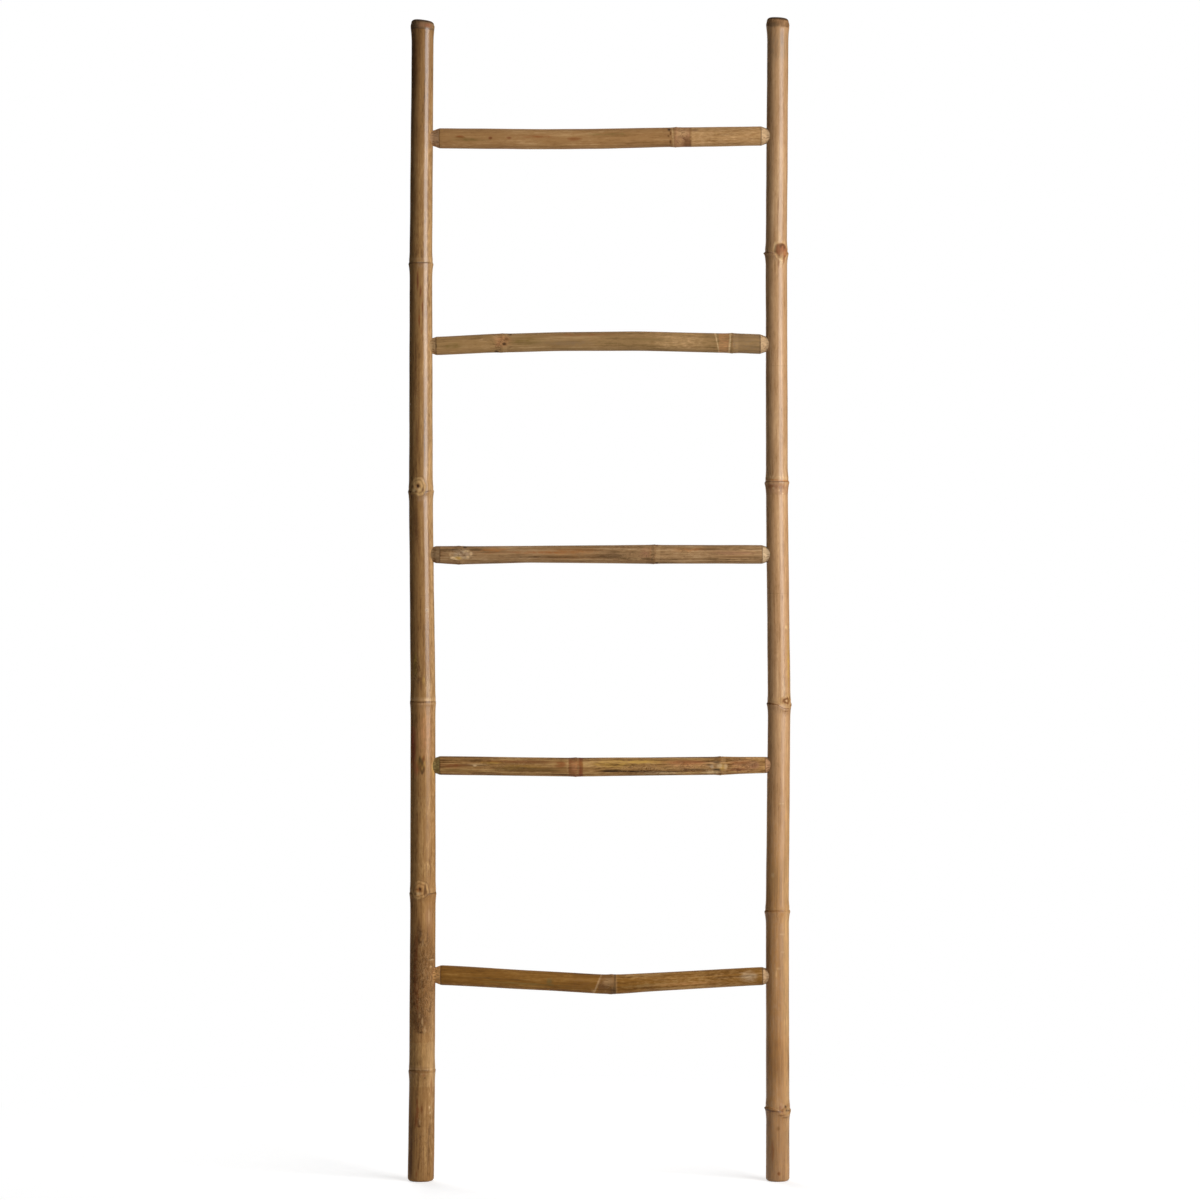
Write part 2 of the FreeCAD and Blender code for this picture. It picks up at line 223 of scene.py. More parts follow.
def marks(*entries):
    """The marks of a culm, in the order in which they are laid; what isn't a ring is a patch."""
    return [entry if isinstance(entry, Ring) else Patch(*entry) for entry in entries]


MARKS = {
    "left_pole": marks(
        # Lighter and darker stretches, painted shade down the left side and painted light down the lit right
        # side
        (960, 66, 620, 9, PALE, 0.6), (1450, -20, 50, 24, BROWN, 0.42), (1430, -58, 66, 8, BROWN, 0.44),
        (1145, -58, 26, 7, BROWN, 0.44), (753, -58, 30, 7, BROWN, 0.44), (20, -58, 18, 7, BROWN, 0.48),
        (482, -6, 24, 14, TAN, 0.44), (1222, -4, 36, 20, TAN, 0.42),
        # The cut top, with painted shade on its rounded rim
        Ring(1484, 1500, GREY_BROWN, 0.5, -1.2), Ring(1484, 1485.6, DARK, 0.42, -1.2),
        Ring(1496.5, 1501, DARK, 0.8, -1.2), (1490, 31, 4, 6, MAROON, 0.3),
        (1490, -8, 5, 4, PINK_BROWN, 0.5),
        # Rusty scratches
        (1160, -14, 14, 1.6, RED_BROWN, 0.75), (1146, 0, 10, 1.5, RED_BROWN, 0.7),
        (1126, 10, 9, 1.4, RUST, 0.75), (1110, -6, 12, 1.6, RUST, 0.7), (1096, 4, 8, 1.2, RUST, 0.6),
        # Long brown streaks
        (1040, -24, 46, 2.4, BROWN, 0.5), (1012, -8, 40, 1.6, BROWN, 0.42),
        (960, -16, 30, 3, BROWN, 0.55), (842, -22, 34, 5, BROWN, 0.6), (810, -6, 22, 2, BROWN, 0.5),
        # A pale spot with a dark middle
        (736, 24, 3, 3, CREAM, 0.45), (736, 24, 1.5, 1.5, BROWN, 0.7),
        # Scribbles above the third node
        (660, -34, 34, 5, OLIVE, 0.46), (652, -14, 24, 3, BROWN, 0.44), (668, -36, 13, 3, YELLOW, 0.5),
        (640, -6, 12, 1.6, BROWN, 0.5), (646, 6, 7, 2, YELLOW, 0.4), (636, 30, 17, 6, PALE, 0.6),
        # The third node, with a painted highlight on its ridge, and the redder skin below it
        # The upper pale ring and the cream spot are the painted highlight
        Ring(619.4, 622.6, PALE, 0.46), (620.6, 26, 1.5, 5, CREAM, 0.65), Ring(614.2, 616, PALE, 0.44),
        (576, 8, 44, 12, PINK_TAN, 0.5), (560, -52, 34, 6, MAROON, 0.62),
        # A dark scribble
        (538, -5, 11, 6, YELLOW, 0.45), (543, -12, 6, 1.7, DARK, 0.8), (533, -10, 5, 1.7, BROWN, 0.9),
        (540, -1, 6, 1.7, DARK, 0.8), (531, 6, 5, 1.6, BROWN, 0.85), (536, -19, 7, 1.6, OLIVE, 0.8),
        (527, -3, 4, 1.6, DARK, 0.7), (545, 5, 4, 1.6, RUST, 0.9), (530, -30, 10, 4, MAROON, 0.42),
        (530, 56, 11, 2.4, YELLOW, 0.5),
        # The lower eye
        (403, 8, 14, 14, GOLD, 0.42), (377, -12, 11, 9, ORANGE, 0.34), (377.4, -11, 1.7, 1.5, HOLE, 0.95),
        (376.6, -23, 1.2, 3, RUST, 0.7), (379, 13, 5, 1.3, BROWN, 0.8), (377, -40, 6, 1.3, BROWN, 0.65),
        (373, 9, 5, 1.4, BROWN, 0.9), (372, 18, 4.5, 1.3, BROWN, 0.85),
        (370.5, -32, 1.8, 1.5, BROWN, 0.8), (371.5, -17, 1.8, 3, CREAM, 0.6),
        # The upper eye
        (896.3, -13, 1.7, 1.5, HOLE, 0.95), (895, -38, 2.4, 1.4, BROWN, 0.95),
        (891, 11, 2.8, 1.5, BROWN, 0.9), (888.5, -22, 1.5, 2.2, BROWN, 0.8),
        (892, -4, 2.0, 1.8, CREAM, 0.65), (890, -29, 2.0, 1.8, CREAM, 0.6),
        # Scratches below the lower eye
        (340, 34, 26, 8, PINK_BROWN, 0.36), (342, 31, 11, 1.6, PALE, 0.6), (324, -14, 16, 3, BROWN, 0.55),
        (320, -8, 5, 1.4, DARK, 0.85), (312, -16, 5, 1.3, DARK, 0.8), (309, -6, 1.6, 3, DARK, 0.7),
        (308, 3, 5, 1.5, PALE, 0.8),
        # The mottled stretch
        (264, -5, 68, 42, MAUVE, 0.6), (268, -34, 46, 2.4, RUST, 0.7), (240, -20, 30, 1.8, RUST, 0.7),
        (300, -26, 18, 1.6, RUST, 0.7), (236, 34, 40, 8, WARM, 0.34), (206, -8, 14, 13, BROWN, 0.5),
        (200, -16, 6, 1.3, CRACK, 0.6), (193, -6, 1.6, 4, CRACK, 0.55), (206, 2, 6, 1.2, PALE, 0.6),
        (196, 14, 5, 1.3, PALE, 0.75), (216, -12, 5, 1.2, PALE, 0.55), (286, 48, 0.9, 4.5, CREAM, 0.6),
        (277, 44, 0.9, 2.5, CREAM, 0.5), (267, 66, 6, 3, RED_BROWN, 0.8), (252, 70, 4, 4, RUST, 0.7),
        # The lowest node
        Ring(148, 180, TAN, 0.55), Ring(143.4, 146.6, PALE, 0.42), Ring(138.6, 140.4, PALE, 0.46),
        Ring(122, 138.6, TAN, 0.44), (134, 14, 1.6, 1.4, BROWN, 0.7),
        # The foot, with painted light down its lit right side and painted shade down its left side
        (122, 52, 130, 8, PALE, 0.42), (60, -60, 64, 6, BROWN, 0.45), (122, 48, 14, 1.6, RUST, 0.55),
        (138, 10, 2.4, 2, RUST, 0.5), (92, -16, 9, 2.4, RUST, 0.7), (80, -22, 10, 2.4, RUST, 0.65),
        (78, -11, 5, 1.3, BROWN, 0.95), (72, -8, 1.8, 2.4, BROWN, 0.85), (78, -5, 4, 1.4, PALE, 0.65),
        (94, 2, 7, 1.8, RUST, 0.7), (104, -20, 6, 1.8, RUST, 0.65), (96, 40, 2, 1.3, CREAM, 0.55),
        (89, 42, 2, 1.3, CREAM, 0.5), (70, 42, 9, 1.4, BROWN, 0.7), (56, -30, 34, 1.5, BROWN, 0.55),
        (40, -46, 36, 2.4, BROWN, 0.5), (48, -4, 24, 1.3, BROWN, 0.55), (34, 12, 20, 1.2, BROWN, 0.5),
        (40, 34, 30, 1.3, BROWN, 0.55), (34, 22, 28, 2.4, TAN, 0.55), (22, -10, 9, 1.4, BROWN, 0.65),
        (10, -18, 6, 1.8, RUST, 0.5),
        # The back
        (900, 150, 60, 12, BROWN, 0.4), (480, -160, 70, 12, BROWN, 0.45), (1250, 165, 70, 9, RUST, 0.4),
    ),
    "right_pole": marks(
        # The cut top, with painted shade on its rounded rim
        Ring(1487, 1500, BROWN, 0.5, -0.8), (1489, -28, 4, 6, GREY_BROWN, 0.45),
        Ring(1497, 1501, DARK, 0.8, -0.8), (1462, 0, 30, 30, GREY_BROWN, 0.43),
        # The bud, and a scratch above it
        (1258, 6, 13, 1.2, BROWN, 0.6), (1197, 33, 4.5, 6, BUD, 0.85), (1195, 40, 3, 4, PINK_TAN, 0.55),
        (1204, 19, 2.2, 1.5, CRACK, 0.7), (1206, 29, 1.5, 2.4, CRACK, 0.75),
        (1203, 38, 2.2, 1.4, CRACK, 0.7), (1205, -10, 5, 1.4, CREAM, 0.5), (1217, 12, 9, 4, PALE, 0.5),
        (1184, 22, 11, 3, CREAM, 0.5), (1188, 38, 8, 2, RUST, 0.6), (1181, 10, 7, 1.6, RUST, 0.55),
        # The fourth node
        Ring(884, 899, PINK_BROWN, 0.46), (895, -30, 3, 7, RUST, 0.42), (894, 16, 3, 6, RUST, 0.42),
        (893, -20, 1.2, 1.6, CREAM, 0.55), (890, 8, 1.2, 1.4, CREAM, 0.55),
        (886, 30, 1.4, 1.3, CREAM, 0.55), Ring(902, 904.5, ORANGE, 0.55, -1.0),
        Ring(905, 909, CREAM, 0.36, -1.0),
        # The ring-shaped scar
        (615.8, -76, 1.4, 4, DARK, 0.75), (615.2, -50, 1, 5, CRACK, 0.7), (614.6, -22, 1, 5, BROWN, 0.65),
        (622, 66, 3, 2, BROWN, 0.9), (606, 36, 1.0, 5, BROWN, 0.65), (628, 14, 5, 1.3, PALE, 0.7),
        (631, 26, 5, 1.3, PALE, 0.65),
        # Pale scratches
        (714, 41, 3, 2, CREAM, 0.8), (672, 56, 46, 2.5, YELLOW, 0.6), (640, 24, 9, 3, CREAM, 0.45),
        (487, 15, 1.5, 4, CREAM, 0.6), (388, -4, 30, 16, PALE, 0.4), (395, -27, 3, 2.4, CREAM, 0.85),
        # The second node
        Ring(350.8, 353.6, PALE, 0.42), (348, -74, 1.4, 5, DARK, 0.75), (348.6, -44, 1, 6, CRACK, 0.7),
        (349.2, -12, 1, 7, CRACK, 0.7), (349, 22, 1, 6, CRACK, 0.7), (348.4, 56, 1, 6, CRACK, 0.7),
        (354, 48, 7, 2.4, ORANGE, 0.6),
        # Small scratches
        (319, 22, 1.2, 4, CREAM, 0.75), (296, 26, 1.2, 3, CREAM, 0.7), (275, 4, 1.6, 3, CREAM, 0.7),
        (268, -8, 5, 1.3, CREAM, 0.75), (209, 50, 6, 1.3, CREAM, 0.8), (204, 40, 4, 1.3, CREAM, 0.75),
        (178, 8, 8, 1.8, BROWN, 0.46), (176, -8, 7, 1.6, BROWN, 0.44),
        # Warmer stretches, and painted light down the lit right side
        (235, 0, 340, 90, WARM, 0.54), (260, 56, 270, 8, PALE, 0.6), (160, -4, 34, 24, WARM, 0.32),
        # The lowest node
        (96, 11, 2.4, 1.6, RUST, 0.65), (92, 20, 3, 1.8, RUST, 0.65), (97, 37, 1.8, 1.6, DARK, 0.95),
        (92, 42, 1.4, 1.4, DARK, 0.8), (98, 52, 2.4, 2, RUST, 0.55), (93.5, -80, 2, 4, DARK, 0.85),
        (92.8, -56, 1, 6, CRACK, 0.75), (91.6, -26, 1, 6, CRACK, 0.7), (91, 2, 1, 4, CRACK, 0.65),
        (91.5, 62, 1.2, 4, CRACK, 0.65), (86, 16, 1, 5, BROWN, 0.65), (83, 36, 1, 5, BROWN, 0.65),
        # The foot
        (69, 0, 3, 2.4, BROWN, 0.4), (11, 3, 2.4, 2, RUST, 0.8), (40, -28, 14, 2.5, RUST, 0.4),
        (56, 70, 12, 2, BROWN, 0.7), (150, 66, 16, 1.4, BROWN, 0.7),
        # The back
        (1000, 160, 60, 8, BROWN, 0.35), (460, -170, 50, 9, PINK_BROWN, 0.45),
    ),
    "top_rung": marks(
        # Painted light along the upper edge
        (-90, 60, 60, 4, TAN, 0.42),
        # The node and the paler skin at its right
        Ring(80, 91, BROWN, 0.32), Ring(92.5, 95, PALE, 0.55, -0.8), Ring(95.5, 116, PINK_BROWN, 0.5),
        (112, -45, 6, 9, BROWN, 0.65), (106, 20, 8, 4, PALE, 0.5), Ring(115, 118, BROWN, 0.34),
        (89, 46, 2.4, 2.4, DARK, 0.8), (91, 18, 1.4, 3, BROWN, 0.75), (88, 2, 1.4, 1.4, BROWN, 0.7),
        (91, -32, 1.4, 4, BROWN, 0.7), Ring(118, 215, PALE, 0.42),
        # Spots and streaks
        (-140.9, -2, 3, 2, RED_BROWN, 0.85), (-117, 0, 4, 2, RED_BROWN, 0.7), (-180, 4, 7, 2, RUST, 0.7),
        (-80, 8, 26, 2.4, RUST, 0.6), (-33, -6, 11, 3, RUST, 0.65), (-170, -12, 30, 3, OLIVE, 0.5),
        (10, 20, 40, 3, OLIVE, 0.5), (122, 40, 6, 3, BROWN, 0.5),
    ),
    "upper_rung": marks(
        # A lighter stretch, and painted light along the upper edge
        (98, 0, 46, 14, PALE, 0.45), (110, 60, 90, 4, TAN, 0.42),
        # The left node
        (-126, 12, 12, 10, PINK_TAN, 0.66), (-123.2, -9, 2.6, 2, BLACK, 0.9),
        (-120, 20, 3, 2, BROWN, 0.7), (-133, -66, 3.5, 3, DARK, 0.8), (-116, 62, 4, 3, DARK, 0.6),
        (-150, 20, 9, 3, PALE, 0.5), (-134, 44, 5, 5, PALE, 0.5),
        # Streaks
        (-190, -8, 20, 6, OLIVE, 0.5), (-95, 6, 26, 8, OLIVE, 0.55), (-40, -14, 40, 5, GREY_BROWN, 0.5),
        (-24, 42, 60, 4, RUST, 0.45), (60, 10, 36, 3, OLIVE, 0.45),
        # The right node
        Ring(149.6, 151.8, CREAM, 0.5, -2.4), Ring(153, 166, PINK_TAN, 0.46),
        Ring(166, 168.6, CREAM, 0.58, 0.8), Ring(169.5, 171, BROWN, 0.4),
        Ring(171, 206, GREY_BROWN, 0.45),
    ),
    "middle_rung": marks(
        # The pale scar at the left
        (-178, 4, 14, 9, PALE_GREY, 0.58), (-182.5, -20, 4.5, 2.4, YELLOW, 0.85),
        (-190, -18, 3, 2, CREAM, 0.8), (-193, 0, 2, 2, PALE, 0.7), (-186, -28, 3, 1.5, CREAM, 0.75),
        (-172, 28, 4, 1.5, CREAM, 0.7), (-166, 8, 1.8, 3, CREAM, 0.6), (-170, -14, 2, 2, CREAM, 0.6),
        (-179, 14, 3, 1.5, GREY_BROWN, 0.7), (-175, -2, 2.4, 1.4, BROWN, 0.7),
        # Streaks and spots
        (-138, 36, 24, 4, ORANGE, 0.45), (110, 28, 24, 5, ORANGE, 0.4), (-174, 62, 3, 3, DARK, 0.8),
        (-190, 36, 12, 2, DARK, 0.5), (-203, 0, 6, 8, BROWN, 0.4), (-38, 0, 42, 14, WARM, 0.4),
        (176, 0, 30, 14, PALE, 0.42), (-90, 12, 80, 2.4, RUST, 0.5), (-60, -20, 90, 2, DARK, 0.45),
        (-20, 30, 50, 2, BROWN, 0.5), (16, -6, 30, 3, DARK, 0.45),
        # The right node
        (58, 8, 9, 9, PINK_BROWN, 0.55), Ring(64, 66, PINK_TAN, 0.4), Ring(70, 72, PALE, 0.4),
        (46, -30, 12, 3, PALE, 0.5), (73, -64, 3, 3, DARK, 0.7), (73, 66, 3, 3, BROWN, 0.7),
        # Streaks at the right
        (170, 8, 34, 3, PINK_BROWN, 0.6), (175, -16, 30, 1.5, BROWN, 0.65), (140, 34, 20, 2, BROWN, 0.5),
    ),
    "lower_rung": marks(
        # Painted light along the lower edges
        (-165, -60, 40, 5, TAN, 0.4), (60, -62, 100, 4, TAN, 0.4),
        # Streaks and scratches at the left
        (-170, 6, 40, 1.4, DARK, 0.55), (-185, -26, 26, 2, OLIVE, 0.6), (-158, 14, 14, 1.3, PALE, 0.65),
        (-161, 3, 2.4, 1.6, CREAM, 0.62), (-143, 32, 3, 3, DARK, 0.6), (-190, 2, 22, 4, RUST, 0.5),
        (-140, 24, 16, 2, YELLOW, 0.55), (-110, 34, 60, 2.4, RUST, 0.5), (-95, -18, 50, 3, OLIVE, 0.65),
        (-100, 2, 30, 3, YELLOW, 0.45), (-90, 0, 38, 14, BROWN, 0.48),
        # The left node
        (-50, 18, 8, 5, RUST, 0.6), Ring(-43, -41, PALE, 0.36), Ring(-40.5, -24, RED_BROWN, 0.52),
        (-33, 4, 4, 7, PINK_TAN, 0.5), Ring(-26.5, -21.5, RED_BROWN, 0.62),
        # Streaks between the nodes
        (20, 22, 38, 8, YELLOW, 0.5), (62, 34, 24, 4, YELLOW, 0.5), (55, -30, 62, 1.5, BLACK, 0.6),
        (15, -24, 16, 1.6, DARK, 0.65), (80, -46, 30, 3, CREAM, 0.45), (112, 12, 30, 8, PINK_TAN, 0.5),
        (110, 26, 30, 3, RUST, 0.6), (120, -20, 24, 1.4, BLACK, 0.55),
        # The right node
        (148, 0, 12, 10, PALE, 0.46), (144, -2, 2.4, 2.4, PALE_GREY, 0.6), (158, -8, 5, 5, YELLOW, 0.6),
        (154, 2, 3.5, 2.4, CREAM, 0.76), (162, -4, 2.4, 4, CREAM, 0.65), (144, -44, 12, 3, CREAM, 0.6),
        (150, -22, 6, 1.4, BLACK, 0.75), (150, 24, 5, 1.4, DARK, 0.65), (140, 10, 4, 1.4, DARK, 0.55),
        # The reddish right end
        (186, 0, 22, 13, PINK_TAN, 0.62), (180, 20, 14, 1.8, RUST, 0.7),
        (176, -24, 12, 1.8, RED_BROWN, 0.65), (199, 2, 7, 5, PINK_BROWN, 0.65),
        (199, 2, 3, 2.4, RED_BROWN, 0.6),
    ),
    "bottom_rung": marks(
        # Painted light along the lower and upper edges
        (-130, -60, 90, 5, TAN, 0.4), (110, -60, 100, 5, TAN, 0.42), (48, 60, 34, 5, TAN, 0.46),
        # The node
        Ring(-4.6, -2.0, PALE, 0.65, 5.2), Ring(-2, 19, BROWN, 0.42, 2.0), (4, -8, 7, 5, BROWN, 0.6),
        (17, -46, 4, 8, DARK, 0.7), (10, 22, 7, 5, PALE, 0.45), Ring(18.5, 20.5, DARK, 0.5),
        # Streaks and stains
        (-65, 4, 5, 6, OLIVE, 0.6), (-130, 2, 60, 1.6, DARK, 0.45), (-100, -20, 70, 2, OLIVE, 0.55),
        (60, -14, 40, 2.4, OLIVE, 0.45), (110, -18, 40, 2, ORANGE, 0.4), (130, 0, 105, 40, TAN, 0.38),
        (192, 8, 12, 7, PALE_GREY, 0.44), (-26, 0, 24, 14, BROWN, 0.36),
    ),
}

# How light and how warm each stretch between nodes is, from the foot up or from the left
TONES = {
    "left_pole": (
        (1.05, 0.06), (1.1, 0.08), (1.12, 0.03),
        (1.04, 0.04), (1.08, 0.0), (0.96, 0.03),
    ),
    "right_pole": (
        (0.9, 0.08), (1.05, 0.02), (1.07, 0.03),
        (1.07, 0.04), (1.02, 0.0), (0.94, 0.0),
    ),
    "top_rung": ((0.95, 0.0), (1.05, -0.06)),
    "upper_rung": ((1.02, 0.06), (0.9, 0.03), (0.96, 0.0)),
    "middle_rung": ((0.95, 0.08), (0.96, 0.06), (1.06, 0.04)),
    "lower_rung": ((0.98, -0.02), (1.06, -0.06), (1.32, -0.04)),
    "bottom_rung": ((0.92, 0.06), (1.0, 0.04)),
}

# Where the skin is cracked; these patches have no colour of their own
WORN = {
    "left_pole": marks(
        (255, 0, 84, 30, None, 0.85),
        (655, -28, 34, 12, None, 0.7),
        (55, 0, 56, 30, None, 0.5),
        (1020, -15, 60, 8, None, 0.5),
        (842, -18, 44, 10, None, 0.5),
    ),
    "right_pole": marks(
        (891, 0, 10, 60, None, 0.5),
        (1188, 25, 12, 8, None, 0.6),
        (150, 0, 40, 20, None, 0.3),
    ),
    "upper_rung": marks((-128, 0, 22, 30, None, 0.6), (0, 0, 120, 40, None, 0.25)),
    "middle_rung": marks((-182, 0, 24, 30, None, 0.6), (60, 0, 140, 40, None, 0.5)),
    "lower_rung": marks(
        (80, -20, 90, 14, None, 0.7),
        (185, 0, 30, 30, None, 0.7),
        (-120, 0, 80, 30, None, 0.5),
    ),
    "bottom_rung": marks((8, -20, 14, 20, None, 0.6)),
    "top_rung": marks((104, 0, 16, 30, None, 0.6)),
}


# Tracing the CAD culms

class Culm:
    """The axis and radius of a CAD culm, read from its solid, all in millimetres."""

    def __init__(self, name, axes, flare):
        self.name = name
        self.knots = KNOTS.get(name, ())
        self.along, self.back, self.side = (np.array(way, float) for way in axes[:3])
        self.sign = axes.sign
        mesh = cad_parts[name].data
        points = np.array([v.co for v in mesh.vertices]) / MM
        self.tree = BVHTree.FromPolygons(points.tolist(), [p.vertices[:] for p in mesh.polygons])
        self.low, self.high = (points @ self.along).min(), (points @ self.along).max()
        middles = [(points @ way).min() / 2 + (points @ way).max() / 2 for way in (self.back, self.side)]
        middle = middles[0] * self.back + middles[1] * self.side
        turns = np.arange(TRACE_RAYS) * 2 * math.pi / TRACE_RAYS
        ways = [Vector(math.cos(turn) * self.back + math.sin(turn) * self.side) for turn in turns]
        self.places = np.arange(self.low + TRACE_STEP / 2, self.high, TRACE_STEP)
        rings = np.array([self.trace(Vector(middle + place * self.along), ways) for place in self.places])
        self.centre = smooth(rings[:, :2], CENTRE_BLUR)
        self.radius = smooth(rings[:, 2:], RADIUS_BLUR)[:, 0]
        self.nodes = self.find_nodes(flare)

    def trace(self, middle, ways):
        """The circle that fits the culm's outside best at one place along it: middle and radius."""
        rays = [self.tree.ray_cast(middle + TRACE_REACH * way, -way, TRACE_REACH)[0] for way in ways]
        hits = np.array([hit for hit in rays if hit is not None]) @ np.column_stack((self.back, self.side))
        while True:
            terms = np.column_stack((2 * hits, np.ones(len(hits))))
            back, side, rest = np.linalg.lstsq(terms, (hits ** 2).sum(1), rcond=None)[0]
            radius = math.sqrt(rest + back ** 2 + side ** 2)
            off = np.hypot(hits[:, 0] - back, hits[:, 1] - side) - radius
            in_a_hole = off < np.median(off) - TRACE_HOLE
            if not in_a_hole.any():
                return back, side, radius
            hits = hits[~in_a_hole]

    def find_nodes(self, flare):
        """Where the culm swells to a ring."""
        reach = round(flare / TRACE_STEP)
        found = []
        for i in range(reach, len(self.radius) - reach):
            here = self.radius[i]
            sides = max(self.radius[i - reach], self.radius[i + reach])
            if here == self.radius[i - reach:i + reach + 1].max() and here - sides > LEAST_COLLAR:
                found.append(float(self.places[i]))
        return found

    def centre_at(self, place):
        return [np.interp(place, self.places, self.centre[:, k]) for k in (0, 1)]

    def radius_at(self, place):
        return np.interp(place, self.places, self.radius)

    def point(self, place, turn, radius):
        """Points in the frame, at turns counted from the back."""
        back, side = self.centre_at(place)
        back = back + radius * np.cos(turn)
        side = side + radius * np.sin(turn)
        return place[..., None] * self.along + back[..., None] * self.back + side[..., None] * self.side

    def from_front(self, turn):
        """Turns counted from the back, as angles from the front."""
        return wrap(self.sign * (turn - math.pi))


def wrap(angle):
    return (angle + math.pi) % (2 * math.pi) - math.pi


def smooth(values, width):
    """Columns of traced values, each blurred along the culm by a bell of that width."""
    reach = int(3 * width / TRACE_STEP) + 1
    bell = np.exp(-0.5 * (np.arange(-reach, reach + 1) * TRACE_STEP / width) ** 2)
    padded = np.pad(values, ((reach, reach), (0, 0)), mode="reflect", reflect_type="odd")
    columns = [np.convolve(padded[:, k], bell / bell.sum(), mode="valid") for k in range(values.shape[1])]
    return np.column_stack(columns)


def hump(distance, reach, power=2):
    """1 at no distance, and fading to 0 past the reach."""
    return np.exp(-np.abs(distance / reach) ** power)


# The surface of a culm, over places along it and turns around it

Surface = namedtuple("Surface", "radius line internode")


def scar_sway(culm, index, angle, random):
    """How far a node's scar line rises, all round the culm."""
    sway = 0
    for waves, size in SWAYS:
        sway = sway + size * random.normal() * np.cos(waves * angle - random.uniform(*PHASES))
    for knot in culm.knots:
        if knot.node == index:
            sway = sway - knot.dip * hump(wrap(angle - math.radians(knot.turn)), DIP_REACH)
    return sway


def lumps(place, angle, random):
    """Slow unevenness of a grown thing."""
    total = 0
    for _ in range(LUMP_WAVES):
        length = random.uniform(*LUMP_LENGTHS)
        waves = random.integers(1, 5)
        phases = random.uniform(0, FULL_TURN, 2)
        along = np.sin(place / length * FULL_TURN + phases[0])
        total = total + along * np.cos(waves * angle + phases[1])
    return LUMPS * total / LUMP_SUM


UNEVEN = {"bud": 0.35, "eye": 0.5}  # how uneven these knots' outlines are, against the others
KNOT_WAVES = ((2, 0.1), (3, 0.1), (5, 0.07), (7, 0.05))  # waves around an outline, and their size


def knot_distance(culm, knot, place, angle, radius):
    """The distance from a knot's uneven middle, as a share of its size."""
    random = np.random.default_rng(knot.node)
    across = radius * wrap(angle - math.radians(knot.turn)) / knot.width
    along = (place - culm.nodes[knot.node] - knot.rise) / knot.height
    way = np.arctan2(along, across)
    uneven = 0
    for waves, size in KNOT_WAVES:
        uneven = uneven + size * np.sin(waves * way + random.uniform(*PHASES))
    return np.hypot(across, along) * (1 + UNEVEN.get(knot.kind, 1) * uneven)


def knot_relief(knot, share):
    return knot.lift * sum(form.lift * hump(share - form.at, form.width, form.power)
                           for form in KNOT_FORMS[knot.kind])


def peg_dents(culm, place, turn, radius):
    """Shallow dents at the back of a pole, in which the pegs' heads show."""
    dents = 0
    side_name = culm.name.split("_")[0]
    side = culm.centre_at(place)[1] + radius * np.sin(turn)
    for rung in RUNGS:
        low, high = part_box(f"{rung}_{side_name}_peg")
        middle = np.array((low + high) / 2) / MM
        distance = np.hypot(side - middle @ culm.side, place - middle @ culm.along)
        dents = dents + hump(distance, PEG_DENT_RADIUS, 6) * (np.cos(turn) > 0)
    return PEG_DENT * dents


def surface(culm, place, turn):
    """The culm's radius, the height in terms of the straightened scar lines and the internode's number."""
    random = np.random.default_rng(sum(culm.name.encode()))
    angle = culm.from_front(turn)
    line = place + 0 * turn
    for index, node in enumerate(culm.nodes):
        sway = scar_sway(culm, index, angle, random)
        line = line - hump(place - node, SWAY_REACH, 4) * sway
    radius = culm.radius_at(line)
    plain = radius
    radius = radius * (1 + OVAL * np.cos(2 * angle - random.uniform(*PHASES)))
    radius = radius + lumps(place, angle, random)
    for knot in culm.knots:
        radius = radius + knot_relief(knot, knot_distance(culm, knot, place, angle, plain))
    for node, at, height in SPURS.get(culm.name, ()):
        across = plain * wrap(angle - math.radians(at))
        radius = radius + height * hump(across, SPUR_REACH[0]) * hump(line - culm.nodes[node], SPUR_REACH[1])
    if culm.name in POLES:
        radius = radius - peg_dents(culm, place, turn, plain)
    return Surface(radius, line, np.searchsorted(culm.nodes, line))


# Rows of a culm's mesh, from one end to the other

# A row lies at a place along the culm. Its radius is a share of the surface's, less a depth, with the
# surface taken at a place of its own. A row on cut wood has a cut of 1.
Row = namedtuple("Row", "place base share depth cut")


def spread(start, end, fine):
    """Places from start to end, close together in the fine stretches: low, high and step."""
    places = [start]
    while places[-1] < end - FINE_STEP:
        here = places[-1]
        step = min([size for low, high, size in fine if low <= here < high] + [COARSE_STEP])
        ahead = [low - here for low, high, size in fine if low > here]
        places.append(here + max(min([step, end - here] + ahead), FINE_STEP / 2))
    return places[:-1] + [end]


def mark_stretches(culm):
    """Stretches that the culm's small marks need."""
    found = []
    for mark in MARKS[culm.name]:
        if isinstance(mark, Ring):
            found += [(end - RING_REACH, end + RING_REACH, MARK_STEP) for end in (mark.start, mark.end)]
        elif mark.length < SMALL_MARK:
            reach = MARK_REACH * mark.length + MARK_MARGIN
            step = max(FINE_STEP, min(mark.length / 2, MARK_STEP))
            found.append((mark.at - reach, mark.at + reach, step))
    return found


def node_stretches(culm):
    return [(node - NODE_REACH, node + NODE_REACH, FINE_STEP) for node in culm.nodes]


def rounded_edge(end, inward, size):
    """Rows around a cut end's sanded edge, from the end inward."""
    rows = []
    for turn in np.linspace(0, math.pi / 2, EDGE_ROWS):
        along = size * (1 - math.cos(turn))
        depth = size * (1 - math.sin(turn))
        cut = max(0.0, 1 - turn / CUT_TURN)
        rows.append(Row(end + inward * along, end + inward * size, 1, depth, cut))
    return rows


def bore_rows(end, inward, depth, wall, rim):
    """Rows of an open hollow, from its floor out to the rim of the cut face."""
    rows = []
    for place in np.linspace(end + inward * depth, end + inward * BORE_EDGE, BORE_ROWS):
        rows.append(Row(place, place, 1, wall, 1))
    rows.append(Row(end, end + inward * rim, 1, wall - BORE_EDGE, 1))
    return rows


